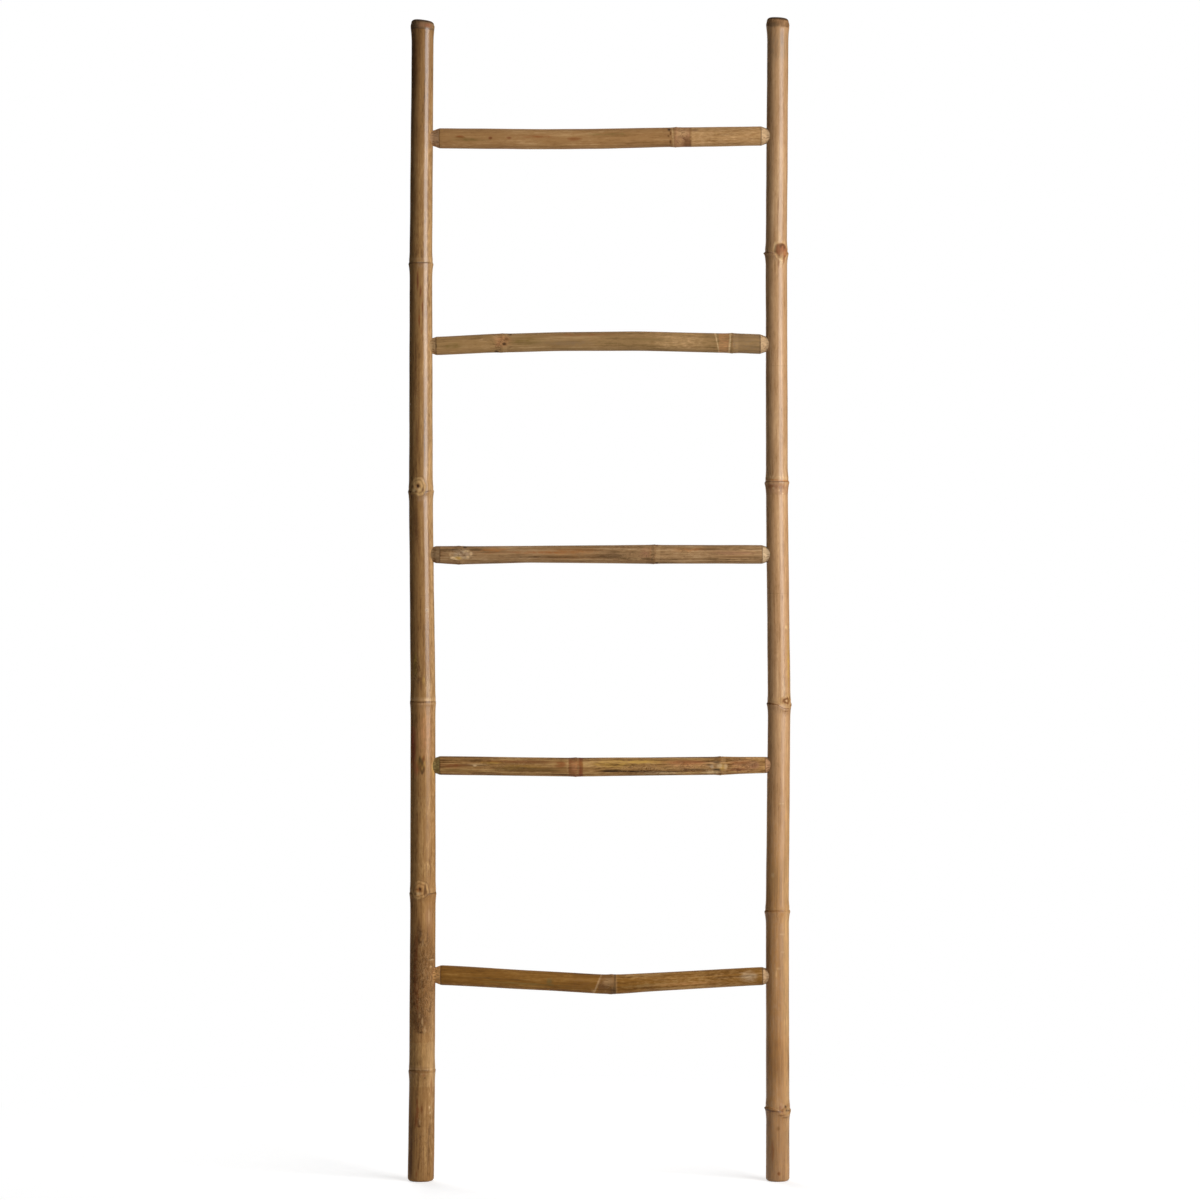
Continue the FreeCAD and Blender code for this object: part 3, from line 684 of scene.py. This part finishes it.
def pole_rows(culm):
    pegs = [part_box(f"{rung}_{culm.name.split('_')[0]}_peg") for rung in RUNGS]
    heights = [(low.z + high.z) / 2 / MM for low, high in pegs]
    fine = node_stretches(culm) + mark_stretches(culm)
    fine += [(height - PEG_REACH, height + PEG_REACH, FINE_STEP) for height in heights]
    inner = spread(culm.low + FOOT_ROUNDING, culm.high - TOP_ROUNDING, fine)[1:-1]
    rows = bore_rows(culm.low, 1, culm.nodes[0] - DIAPHRAGM_HALF, CULM_WALL, FOOT_ROUNDING)
    rows += rounded_edge(culm.low, 1, FOOT_ROUNDING)
    rows += [Row(place, place, 1, 0, 0) for place in inner]
    rows += reversed(rounded_edge(culm.high, -1, TOP_ROUNDING))
    base = culm.high - TOP_ROUNDING
    rows.append(Row(culm.high, base, 1, CULM_WALL - BORE_EDGE, 1))
    rows.append(Row(culm.high - BORE_EDGE, base, 1, CULM_WALL, 1))
    rows += [Row(culm.high - TOP_DISH * deep, base, share, 0, 1) for deep, share in DISH_ROWS]
    return rows


def rung_rows(culm):
    near, far = SHOULDER_REACH
    fine = node_stretches(culm) + mark_stretches(culm)
    fine.append((culm.low + near, culm.low + far, FINE_STEP))
    fine.append((culm.high - far, culm.high - near, FINE_STEP))
    body = spread(culm.low + BORE_EDGE, culm.high - BORE_EDGE, fine)
    full = [near_full(culm, culm.low, 1), near_full(culm, culm.high, -1)]
    rows = bore_rows(culm.low, 1, TENON_BORE, TENON_WALL, BORE_EDGE)
    rows.append(Row(culm.low, culm.low + BORE_EDGE, 1, BORE_EDGE, 1))
    for place in body:
        rows.append(Row(place, place, 1, 0, float(not full[0] <= place <= full[1])))
    rows.append(Row(culm.high, culm.high - BORE_EDGE, 1, BORE_EDGE, 1))
    rows += reversed(bore_rows(culm.high, -1, TENON_BORE, TENON_WALL, BORE_EDGE))
    return rows


def near_full(culm, end, inward):
    """Where a rung's cone reaches the full culm."""
    far = culm.radius_at(end + inward * SHOULDER_REACH[1])
    place = end + inward * SHOULDER_REACH[0]
    while culm.radius_at(place) < far - SHOULDER_EDGE:
        place += inward * TRACE_STEP
    return place


# Marks on a culm, as a colour and how much of it there is at each vertex

PATCH_POWER = 3
RING_SOFT = 1.6
SHOULDER_LINE = 1.3  # half the width of the dark line above a rung's cone
SHOULDER_DARK = 0.6
EYE_RINGS = 0.65  # how strong an eye's rings are in front, and how much more at the right
EYE_LEAN = 0.5


class Paint:
    def __init__(self, shape):
        self.colour = np.zeros(shape + (3,))
        self.cover = np.zeros(shape)

    def lay(self, colour, cover):
        """Lays a colour over what is there."""
        both = cover + self.cover * (1 - cover)
        under = (self.cover * (1 - cover))[..., None] * self.colour
        self.colour = (np.array(colour) * cover[..., None] + under) / np.maximum(both, 1e-9)[..., None]
        self.cover = both


def between(value, low, high, soft):
    """1 from low to high, fading over a soft edge."""
    rise = np.clip((value - low) / soft + 0.5, 0, 1)
    fall = np.clip((high - value) / soft + 0.5, 0, 1)
    return rise * fall


def step(value, low, high):
    """0 below low, 1 above high, and smooth between them."""
    share = np.clip((value - low) / (high - low), 0, 1)
    return share * share * (3 - 2 * share)


def patch_shape(patch, place, angle, radius):
    across = radius * wrap(angle - math.radians(patch.turn)) / patch.width
    return hump(np.hypot(across, (place - patch.at) / patch.length), 1.0, PATCH_POWER)


def paint_marks(culm, place, turn, skin):
    """Every mark of the culm, in order."""
    angle = culm.from_front(turn) + 0 * place
    paint = Paint(angle.shape)
    for knot in culm.knots:
        share = knot_distance(culm, knot, place, angle, skin.radius)
        paint_knot(paint, knot, share, wrap(angle - math.radians(knot.turn)))
    for mark in MARKS[culm.name]:
        if isinstance(mark, Ring):
            leaning = place - mark.slant * np.sin(angle)
            paint.lay(mark.colour, mark.strength * between(leaning, mark.start, mark.end, RING_SOFT))
            continue
        paint.lay(mark.colour, mark.strength * patch_shape(mark, place, angle, skin.radius))
    if culm.name in RUNGS:
        for end, inward in ((culm.low, 1), (culm.high, -1)):
            above = place + 0 * angle - near_full(culm, end, inward)
            paint.lay(DARK, SHOULDER_DARK * hump(above, SHOULDER_LINE))
    return paint


def paint_knot(paint, knot, share, aside):
    """A knot's coats; an eye's rings are stronger at the right."""
    for coat in KNOT_COATS[knot.kind]:
        lopsided = 1
        if coat.at and knot.kind == "eye":
            lopsided = np.clip(EYE_RINGS + EYE_LEAN * np.sin(aside), 0, 1)
        paint.lay(coat.colour, coat.strength * lopsided * hump(share - coat.at, coat.width, coat.power))


def worn_skin(culm, place, turn, skin):
    """Where the skin is cracked and scaly."""
    angle = culm.from_front(turn) + 0 * place
    worn = 0 * angle
    for patch in WORN.get(culm.name, ()):
        worn = np.maximum(worn, patch.strength * patch_shape(patch, place, angle, skin.radius))
    return worn


# Shares of a pole's length over which its polish changes, and how far below its top the polish ends
POLISH_CHANGE = (0.22, 0.62)
POLISH_END = 16.0
POLISH_FADE = 3.0
POLISH_FACING = (-0.2, 0.35)  # how far towards the viewer the skin faces where the polish starts and is full
WORN_OFF = 0.7


def polish(culm, place, turn, skin, worn, cut):
    """How much polish is left: none at the back, at the cuts, knots and top, and less on worn skin."""
    look = LOOKS[culm.name]
    facing = -np.cos(turn)
    share = (place - culm.low) / (culm.high - culm.low)
    amount = look.low_polish + (look.high_polish - look.low_polish) * step(share, *POLISH_CHANGE)
    amount = amount * step(facing, *POLISH_FACING)
    amount = amount * step(culm.high - place, POLISH_END - POLISH_FADE, POLISH_END)
    for knot in culm.knots:
        share = knot_distance(culm, knot, place, culm.from_front(turn), skin.radius)
        amount = amount * (1 - hump(share, 1.0, 6))
    return amount * (1 - WORN_OFF * worn) * (1 - cut)


# Meshes

def top_cut(culm, place, turn):
    """How far a slanted cut lowers the end of a pole."""
    at_left, at_right = TOP_CUTS.get(culm.name, (0, 0))
    share = (1 + np.sin(culm.from_front(turn))) / 2
    return (at_left + (at_right - at_left) * share) * hump(place - culm.high, TOP_CUT_REACH)


def tint(light, warmth):
    """What a tone does to red, green and blue."""
    return [light * (1 - share * warmth) for share in (0.0, 0.5, 1.0)]


def build_culm(culm, rows, columns):
    """One closed mesh of the rows, with what its material reads stored at the vertices."""
    turn = (np.arange(columns) * 2 * math.pi / columns)[None, :]
    place, base, share, depth, cut = (np.array(column, float)[:, None] for column in zip(*rows))
    skin = surface(culm, base, turn)
    radius = skin.radius * share - depth
    height = place - top_cut(culm, place, turn)
    points = culm.point(height, turn, radius)
    paint = paint_marks(culm, place, turn, skin)
    worn = worn_skin(culm, place, turn, skin)
    nodes = np.array(culm.nodes)
    nearest = np.abs(skin.line[..., None] - nodes).argmin(-1)
    tones = np.array([tint(*tone) for tone in TONES[culm.name]])
    fields = {
        "grain": np.stack((radius * np.cos(turn), radius * np.sin(turn), height + 0 * radius), -1) * MM,
        "above_node": np.clip(skin.line - nodes[nearest], -NODE_FIELD, NODE_FIELD),
        "tone": tones[skin.internode],
        "cut": cut + 0 * turn,
        "worn": worn,
        "polish": polish(culm, place, turn, skin, worn, cut),
        "height": (place - culm.low) / (culm.high - culm.low) + 0 * turn,
        "paint": np.concatenate((paint.colour, paint.cover[..., None]), -1),
    }
    mesh = grid_mesh(f"{culm.name}_culm", points * MM, fields)
    return add_object(mesh.name, mesh)


def add_object(name, data):
    made = bpy.data.objects.new(name, data)
    bpy.context.scene.collection.objects.link(made)
    return made


def grid_mesh(name, points, fields):
    """A mesh of closed rows of points, with both ends filled to a middle point."""
    count, columns = points.shape[:2]
    ends = [points[0].mean(0), points[-1].mean(0)]
    here = np.arange(count * columns).reshape(count, columns)
    ahead = np.roll(here, -1, axis=1)
    quads = np.stack((here[:-1], ahead[:-1], ahead[1:], here[1:]), -1).reshape(-1, 4)
    first, last = count * columns, count * columns + 1
    fans = [(first, ahead[0, j], here[0, j]) for j in range(columns)]
    fans += [(last, here[-1, j], ahead[-1, j]) for j in range(columns)]
    low, high = (np.array(corner) for corner in cad_box)
    vertices = np.clip(np.vstack((points.reshape(-1, 3), ends)), low, high)
    mesh = bpy.data.meshes.new(name)
    mesh.from_pydata(vertices.tolist(), [], quads.tolist() + fans)
    for field, values in fields.items():
        store(mesh, field, values)
    lay_out(mesh, points)
    mesh.polygons.foreach_set("use_smooth", np.ones(len(mesh.polygons), bool))
    mesh.set_sharp_from_angle(angle=math.radians(SHARP_EDGE))
    mesh.validate()
    return mesh


STORED = {1: ("FLOAT", "value"), 3: ("FLOAT_VECTOR", "vector"), 4: ("FLOAT_COLOR", "color")}


def store(mesh, field, values):
    """Keeps a field of the grid at the mesh's vertices; the end points take their row's mean."""
    flat = values.reshape(values.shape[0] * values.shape[1], -1)
    ends = [values[0].mean(0), values[-1].mean(0)]
    flat = np.vstack((flat, np.reshape(ends, (2, -1))))
    kind, key = STORED[flat.shape[1]]
    mesh.attributes.new(field, kind, "POINT").data.foreach_set(key, flat.astype(np.float32).ravel())


def lay_out(mesh, points):
    """A flat layout of the culm's skin, in a few strips side by side."""
    count, columns = points.shape[:2]
    steps = np.linalg.norm(np.diff(points, axis=0), axis=2).mean(1)
    path = np.concatenate(([0], np.cumsum(steps)))
    girth = np.linalg.norm(points - np.roll(points, 1, axis=1), axis=2).sum(1).max()
    strips = max(1, round(math.sqrt(path[-1] / girth)))
    strip = np.minimum((path[:-1] / path[-1] * strips).astype(int), strips - 1)
    starts = np.array([path[:-1][strip == k].min() for k in range(strips)])
    stops = np.array([path[1:][strip == k].max() for k in range(strips)])
    inside = 1 - 2 * UV_MARGIN
    across = np.arange(columns + 1) / columns * inside + UV_MARGIN
    longest = (stops - starts).max()

    def spot(row, column, k):
        return (k + across[column]) / strips, UV_MARGIN + inside * (path[row] - starts[k]) / longest

    places = []
    for row in range(count - 1):
        k = strip[row]
        for column in range(columns):
            places += [spot(row, column, k), spot(row, column + 1, k)]
            places += [spot(row + 1, column + 1, k), spot(row + 1, column, k)]
    for column in range(columns):
        places += [spot(0, column, 0), spot(0, column + 1, 0), spot(0, column, 0)]
    for column in range(columns):
        k = strips - 1
        places += [spot(count - 1, column, k), spot(count - 1, column, k), spot(count - 1, column + 1, k)]
    layer = mesh.uv_layers.new(name="OFBake")
    layer.data.foreach_set("uv", np.array(places, np.float32).ravel())


# Materials

class Nodes:
    """Short ways to add shader nodes to a tree."""

    def __init__(self, tree):
        self.tree = tree

    def put(self, socket, value):
        """Links an output to the socket, or sets it."""
        if isinstance(value, bpy.types.NodeSocket):
            self.tree.links.new(value, socket)
        elif isinstance(value, tuple) and len(value) == 3 and socket.type == "RGBA":
            socket.default_value = value + (1.0,)
        else:
            socket.default_value = value

    def add(self, kind, output, inputs, **settings):
        """An output of a new node with these inputs and settings."""
        node = self.tree.nodes.new(kind)
        for key, setting in settings.items():
            setattr(node, key, setting)
        for key, value in inputs.items():
            self.put(node.inputs[key], value)
        return node.outputs[output]

    def field(self, name, output="Fac"):
        return self.add("ShaderNodeAttribute", output, {}, attribute_name=name)

    def place(self):
        return self.add("ShaderNodeTexCoord", "Object", {})

    def math(self, operation, *terms):
        return self.add("ShaderNodeMath", 0, dict(enumerate(terms)), operation=operation)

    def times(self, value, share):
        return self.math("MULTIPLY", value, share)

    def plus(self, total, value, share):
        return self.math("MULTIPLY_ADD", value, share, total)

    def swing(self, total, noise, share):
        """Adds a share of what a noise is above or below its middle."""
        return self.plus(total, self.math("SUBTRACT", noise, NOISE_MIDDLE), share)

    def scaled(self, vector, scale):
        return self.add("ShaderNodeVectorMath", 0, {0: vector, 1: scale}, operation="MULTIPLY")

    def noise(self, vector, kind):
        inputs = {"Vector": self.scaled(vector, kind.stretch), "Scale": kind.scale, "Detail": kind.detail}
        inputs.update({"Roughness": kind.rough, "Distortion": kind.distortion})
        return self.add("ShaderNodeTexNoise", "Fac", inputs)

    def dots(self, vector, kind):
        """1 in the middle of dots, fading to 0 around them."""
        inputs = {"Vector": self.scaled(vector, kind.stretch), "Scale": kind.scale}
        distance = self.add("ShaderNodeTexVoronoi", "Distance", inputs)
        return self.span(distance, kind.outside, kind.inside)

    def span(self, value, low, high, to_low=0.0, to_high=1.0):
        """The value from low to high, as a smooth step."""
        inputs = dict(enumerate((value, low, high, to_low, to_high)))
        return self.add("ShaderNodeMapRange", 0, inputs, interpolation_type="SMOOTHSTEP")

    def bell(self, value, low, high, soft):
        """1 between low and high."""
        rise = self.span(value, low - soft, low)
        return self.times(rise, self.span(value, high, high + soft, 1.0, 0.0))

    def mix(self, share, first, second):
        return self.add("ShaderNodeMix", 2, {0: share, 6: first, 7: second}, data_type="RGBA")

    def brighten(self, colour, amount):
        return self.add("ShaderNodeHueSaturation", "Color", {"Color": colour, "Value": amount})

    def bump(self, height, strength):
        inputs = {"Height": height, "Strength": strength, "Distance": BUMP_DEPTH}
        return self.add("ShaderNodeBump", "Normal", inputs)


def new_material(name):
    """A material, the means to add nodes to it, and its shader."""
    material = bpy.data.materials.new(name)
    material.use_nodes = True
    return material, Nodes(material.node_tree), material.node_tree.nodes["Principled BSDF"]


# A culm's look: three colours of its skin, its cut wood at the low (or left) and high (or right) end,
# the line at its nodes and how strong that is, how strong its streaks, blotches and flecks are, and how
# much of a polish its low and high ends have
Look = namedtuple("Look", (
    "dark", "middle", "light", "old_wood", "wood", "line", "line_share", "streaks", "blotches", "flecks",
    "low_polish", "high_polish",
), defaults=(0.0, 0.0))
LOOKS = {
    "left_pole": Look(
        srgb(100, 68, 34), srgb(150, 111, 66), srgb(180, 140, 90), srgb(112, 82, 52), srgb(122, 88, 54),
        srgb(72, 46, 24), 0.65, 0.42, 0.32, 0.5, 0.04, 1.0,
    ),
    "right_pole": Look(
        srgb(142, 104, 66), srgb(175, 136, 96), srgb(197, 159, 117), srgb(108, 78, 50), srgb(132, 96, 62),
        BROWN, 0.75, 0.45, 0.4, 0.45, 0.25, 0.65,
    ),
    "top_rung": Look(
        srgb(126, 90, 50), srgb(158, 117, 72), srgb(184, 145, 98), srgb(172, 134, 98), srgb(182, 150, 112),
        BROWN, 0.2, 0.38, 0.45, 0.4,
    ),
    "upper_rung": Look(
        srgb(120, 94, 56), srgb(154, 121, 78), srgb(178, 144, 99), srgb(176, 142, 100), srgb(182, 150, 112),
        BROWN, 0.15, 0.4, 0.5, 0.4,
    ),
    "middle_rung": Look(
        srgb(106, 80, 50), srgb(150, 117, 80), srgb(180, 148, 108), srgb(134, 106, 74), srgb(190, 162, 126),
        BROWN, 0.5, 0.75, 0.5, 0.5,
    ),
    "lower_rung": Look(
        srgb(86, 56, 24), srgb(148, 108, 62), srgb(186, 146, 92), srgb(136, 116, 70), srgb(178, 134, 96),
        BROWN, 0.4, 0.95, 0.55, 0.6,
    ),
    "bottom_rung": Look(
        srgb(92, 57, 17), srgb(134, 92, 37), srgb(162, 119, 60), srgb(200, 150, 94), srgb(184, 150, 112),
        BROWN, 0.35, 0.5, 0.45, 0.4,
    ),
}
# How rough and how glossy the skin is, and how deep its bump
SKIN_ROUGH = 0.55
ROUGH_SWING = 0.25
WORN_ROUGH = 0.15
CUT_ROUGH = 0.2
SKIN_SPECULAR = 0.1
POLISH_ROUGH = 0.18
BUMP_DEPTH = 0.0002  # metres
SKIN_BUMP = 0.2
STREAK_HEIGHT = 0.5  # these three against the fibres' height
FLECK_HEIGHT = -0.6
CRACK_HEIGHT = -1.0

# Noise on a culm: how it is stretched along the culm's grain, its scale and kind
NOISE_MIDDLE = 0.5
Noise = namedtuple("Noise", "stretch scale detail rough distortion", defaults=(0.0,))
FIBRE = Noise((1, 1, 0.02), 900, 3, 0.6)
STREAK = Noise((1, 1, 0.04), 260, 6, 0.66, 0.3)
BLOTCH = Noise((1, 1, 0.35), 50, 4, 0.6)
BREAKUP = Noise((1, 1, 0.3), 420, 4, 0.65)
FLECK = Noise((1, 1, 0.14), 520, 3, 0.6)
FLAKES = Noise((1, 1, 0.5), 230, 4, 0.62, 0.9)
CRACKS = Noise((1, 1, 0.5), 160, 4, 0.62, 0.9)
WEAR = Noise((1, 1, 1), 110, 3, 0.6)

# How strong each is in the skin's shade or colour, and between which values it shows
STREAK_SHARE = 3.6
BLOTCH_SHARE = 2.6
FINE_SHARE = 0.9
FLECK_EDGE = (0.62, 0.72)
FLAKE_SHARE = 0.4
CRACK_SHARE = 0.7
LINE_WIDTH = 0.055
WEAR_EDGE = (0.12, 0.45)
PAINT_EDGE = (0.2, 0.8)
PAINT_SHADES = (0.75, 1.25)


def bamboo(name, look):
    """Bamboo skin: streaks along the culm, scar lines at the nodes, marks, and cut wood at the ends."""
    material, n, skin = new_material(f"{name}_bamboo")
    grain = n.field("grain", "Vector")
    fibre = n.noise(grain, FIBRE)
    streak = n.noise(grain, STREAK)
    breakup = n.noise(grain, BREAKUP)
    shade = n.swing(0.5, streak, STREAK_SHARE * look.streaks)
    shade = n.swing(shade, n.noise(grain, BLOTCH), BLOTCH_SHARE * look.blotches)
    shade = n.swing(shade, fibre, FINE_SHARE)
    shade = n.swing(shade, breakup, FINE_SHARE)
    colour = n.mix(n.span(shade, 0.0, 0.5), look.dark, look.middle)
    colour = n.mix(n.span(shade, 0.5, 1.0), colour, look.light)
    colour = n.scaled(colour, n.field("tone", "Vector"))
    flecks = n.times(n.span(n.noise(grain, FLECK), *FLECK_EDGE), look.flecks)
    colour = n.mix(flecks, colour, BROWN)
    colour = node_colours(n, colour, look, breakup)
    cover = n.swing(n.field("paint", "Alpha"), breakup, 1.0)
    paint = n.brighten(n.field("paint", "Color"), n.span(shade, 0.0, 1.0, *PAINT_SHADES))
    colour = n.mix(n.span(cover, *PAINT_EDGE), colour, paint)
    colour = n.mix(n.times(worn_lines(n, grain, FLAKES), FLAKE_SHARE), colour, PALE)
    cracks = worn_lines(n, grain, CRACKS)
    colour = n.mix(n.times(cracks, CRACK_SHARE), colour, CRACK)
    cut = n.field("cut")
    colour = n.mix(cut, colour, cut_wood(n, look, grain, breakup))
    n.put(skin.inputs["Base Color"], colour)
    rough = n.swing(SKIN_ROUGH, breakup, ROUGH_SWING)
    rough = n.plus(rough, n.field("worn"), WORN_ROUGH)
    n.put(skin.inputs["Roughness"], n.plus(rough, cut, CUT_ROUGH))
    skin.inputs["Specular IOR Level"].default_value = SKIN_SPECULAR
    if look.high_polish:
        n.put(skin.inputs["Coat Weight"], n.field("polish"))
        skin.inputs["Coat Roughness"].default_value = POLISH_ROUGH
    height = n.plus(fibre, streak, STREAK_HEIGHT)
    height = n.plus(height, flecks, FLECK_HEIGHT)
    height = n.plus(height, cracks, CRACK_HEIGHT)
    n.put(skin.inputs["Normal"], n.bump(height, SKIN_BUMP))
    return material


def worn_lines(n, grain, kind):
    """Wavy lines in weathered skin."""
    away = n.math("ABSOLUTE", n.math("SUBTRACT", n.noise(grain, kind), NOISE_MIDDLE))
    lines = n.span(away, 0.0, LINE_WIDTH, 1.0, 0.0)
    wear = n.times(n.field("worn"), n.noise(grain, WEAR))
    return n.times(lines, n.span(wear, *WEAR_EDGE))


# Bands at a node: where they start and end above it, and how soft they are
RIDGE = (3.0, 6.5, 2.0)
RIDGE_SHARE = 0.28
STAIN = (-5.0, -1.0, 5.0)
STAIN_SHARE = 0.4
STAIN_EDGE = (0.42, 0.62)
LINE = (0.6, 1.2, 0.8)
LINE_EDGE = (0.25, 0.5, 0.5, 1.0)


def node_colours(n, colour, look, breakup):
    """The pale ridge above each scar line, the stained band below it and the line itself."""
    above = n.field("above_node")
    colour = n.mix(n.times(n.bell(above, *RIDGE), RIDGE_SHARE), colour, PALE)
    stain = n.times(n.bell(above, *STAIN), n.span(breakup, *STAIN_EDGE))
    colour = n.mix(n.times(stain, STAIN_SHARE), colour, BROWN)
    line = n.times(n.bell(above, *LINE), n.span(breakup, *LINE_EDGE))
    return n.mix(n.times(line, look.line_share), colour, look.line)


# Dots of fibre bundles in cut wood, and how far from its middle a dot ends and is full
Dots = namedtuple("Dots", "stretch scale outside inside")
END_DOTS = Dots((1, 1, 0.25), 520, 0.4, 0.18)
PEG_DOTS = Dots((1, 0.2, 1), 1300, 0.3, 0.15)
DOT_SHARE = 0.6
WOOD_EDGE = (0.3, 0.7)
WOOD_SHADES = (0.75, 1.15)
PEG_FIBRE = Noise((1, 0.04, 1), 1800, 3, 0.6)
PEG_DARK = srgb(176, 134, 82)
PEG_LIGHT = srgb(218, 180, 124)
PEG_ROUGH = (0.2, 0.8, 0.5, 0.7)
PEG_BUMP = 0.3


def cut_wood(n, look, grain, breakup):
    """End wood, of one colour at the low (or left) end and another at the high (or right) end, with the dark
    dots of its fibre bundles.
    """
    wood = n.mix(n.span(n.field("height"), *WOOD_EDGE), look.old_wood, look.wood)
    wood = n.brighten(wood, n.span(breakup, *WOOD_EDGE, *WOOD_SHADES))
    return n.mix(n.times(n.dots(grain, END_DOTS), DOT_SHARE), wood, BROWN)


def peg_wood():
    """Pale split bamboo, with fibres along the peg."""
    material, n, skin = new_material("peg_bamboo")
    place = n.place()
    fibre = n.noise(place, PEG_FIBRE)
    colour = n.mix(n.span(fibre, *WOOD_EDGE), PEG_DARK, PEG_LIGHT)
    colour = n.mix(n.times(n.dots(place, PEG_DOTS), DOT_SHARE), colour, RUST)
    n.put(skin.inputs["Base Color"], colour)
    n.put(skin.inputs["Roughness"], n.span(fibre, *PEG_ROUGH))
    n.put(skin.inputs["Normal"], n.bump(fibre, PEG_BUMP))
    return material


# The ladder


def dress(name, axes, flare, make_rows, columns):
    """A culm's piece, in place of its CAD node."""
    culm = Culm(name, axes, flare)
    piece = build_culm(culm, make_rows(culm), columns)
    piece.data.materials.append(bamboo(name, LOOKS[name]))
    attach(piece, "root")
    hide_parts(name)


for pole in POLES:
    dress(pole, POLE_AXES, POLE_FLARE, pole_rows, POLE_COLUMNS)
for rung in RUNGS:
    dress(rung, RUNG_AXES, RUNG_FLARE, rung_rows, RUNG_COLUMNS)
peg_material = peg_wood()
for rung in RUNGS:
    for side in ("left", "right"):
        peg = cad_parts[f"{rung}_{side}_peg"]
        peg.data.materials.clear()
        peg.data.materials.append(peg_material)


# Floor, world and lamps, in metres

AMBIENT = 0.02
FLOOR_RADIUS = 4.0
FLOOR_SIDES = 128
FLOOR_TO_WHITE = (0.3, 1.2)  # from the shadow's ground to plain white, from the middle
FLOOR_GREY = (0.7, 0.7, 0.7)
FLOOR_GLOW = 0.56


def seen(n):
    """1 for what the camera sees, directly or in a mirror or glass."""
    total = 0.0
    for kind in ("Glossy", "Transmission", "Camera"):
        total = n.math("MAXIMUM", n.add("ShaderNodeLightPath", f"Is {kind} Ray", {}), total)
    return total


def make_world():
    world = bpy.data.worlds.new("studio")
    world.use_nodes = True
    n = Nodes(world.node_tree)
    background = world.node_tree.nodes["Background"]
    background.inputs["Color"].default_value = (1, 1, 1, 1)
    n.put(background.inputs["Strength"], n.span(seen(n), 0, 1, AMBIENT, 1.0))
    bpy.context.scene.world = world


def make_floor():
    """A pale disc that shows the ladder's shadow and turns into the white around it."""
    mesh = bpy.data.meshes.new("floor")
    shape = bmesh.new()
    bmesh.ops.create_circle(shape, cap_ends=True, segments=FLOOR_SIDES, radius=FLOOR_RADIUS)
    shape.to_mesh(mesh)
    shape.free()
    floor = add_object("floor", mesh)
    floor.location.z = cad_box[0].z
    material, n, shader = new_material("floor_white")
    n.tree.nodes.remove(shader)
    far = n.add("ShaderNodeVectorMath", "Value", {0: n.place()}, operation="LENGTH")
    white = n.times(seen(n), n.span(far, *FLOOR_TO_WHITE))
    ground = n.add("ShaderNodeBsdfDiffuse", 0, {"Color": FLOOR_GREY})
    glow = n.add("ShaderNodeEmission", 0, {"Strength": n.times(seen(n), FLOOR_GLOW)})
    shadowed = n.add("ShaderNodeAddShader", 0, {0: ground, 1: glow})
    pure = n.add("ShaderNodeEmission", 0, {})
    mixed = n.add("ShaderNodeMixShader", 0, {0: white, 1: shadowed, 2: pure})
    n.put(n.tree.nodes["Material Output"].inputs["Surface"], mixed)
    mesh.materials.append(material)


# Lamps at a turn from the front, to the right, tilted up from facing down
Lamp = namedtuple("Lamp", "name turn tilt distance height width tall watts mirrored")
LAMPS = (
    Lamp("key_softbox", 46, 90, 2.6, 1.65, 1.9, 3.2, 101, True),
    Lamp("back_fill", 202, 90, 3.2, 1.4, 2.4, 2.6, 95, False),
    Lamp("overhead_softbox", 0, 0, 0.0, 5.0, 4.0, 4.0, 36, False),
)
# Dark panels around the camera's side, which only mirroring surfaces see: both ends, as x and y
FLAGS = {
    "left_flag": ((-1.3, 5.0), (-1.3, -1.8)),
    "front_flag": ((-4.0, -6.0), (4.0, -6.0)),
    "right_flag": ((1.3, -0.2), (1.3, 5.0)),
}
FLAG_HEIGHT = 3.0
FLAG_GREY = (0.02, 0.02, 0.02)


def make_flag(name, start, end):
    mesh = bpy.data.meshes.new(name)
    corners = [start + (0,), end + (0,), end + (FLAG_HEIGHT,), start + (FLAG_HEIGHT,)]
    mesh.from_pydata(corners, [], [(0, 1, 2, 3)])
    flag = add_object(name, mesh)
    material, n, cloth = new_material(f"{name}_cloth")
    n.put(cloth.inputs["Base Color"], FLAG_GREY)
    cloth.inputs["Roughness"].default_value = 1.0
    mesh.materials.append(material)
    flag.visible_camera = False
    flag.visible_diffuse = False
    flag.visible_shadow = False


def make_lamp(lamp):
    """A soft lamp; those beside the ladder face its axis."""
    data = bpy.data.lights.new(lamp.name, "AREA")
    data.shape = "RECTANGLE"
    data.size, data.size_y = lamp.width, lamp.tall
    data.energy = lamp.watts
    light = add_object(lamp.name, data)
    turn = math.radians(lamp.turn)
    light.location = (lamp.distance * math.sin(turn), -lamp.distance * math.cos(turn), lamp.height)
    light.rotation_euler = (math.radians(lamp.tilt), 0, turn)
    light.visible_camera = False
    light.visible_glossy = lamp.mirrored


def make_camera():
    data = bpy.data.cameras.new("camera")
    data.sensor_width = SENSOR
    data.lens = SENSOR * CAMERA_DISTANCE / (PHOTO_PIXELS * PIXEL)
    camera = add_object("camera", data)
    camera.location = (0, -CAMERA_DISTANCE * MM, CAMERA_HEIGHT * MM)
    camera.rotation_euler = (math.pi / 2, 0, 0)
    bpy.context.scene.camera = camera


make_world()
make_floor()
for lamp in LAMPS:
    make_lamp(lamp)
for name, place in FLAGS.items():
    make_flag(name, *place)
make_camera()
bpy.context.scene.view_settings.view_transform = "Standard"
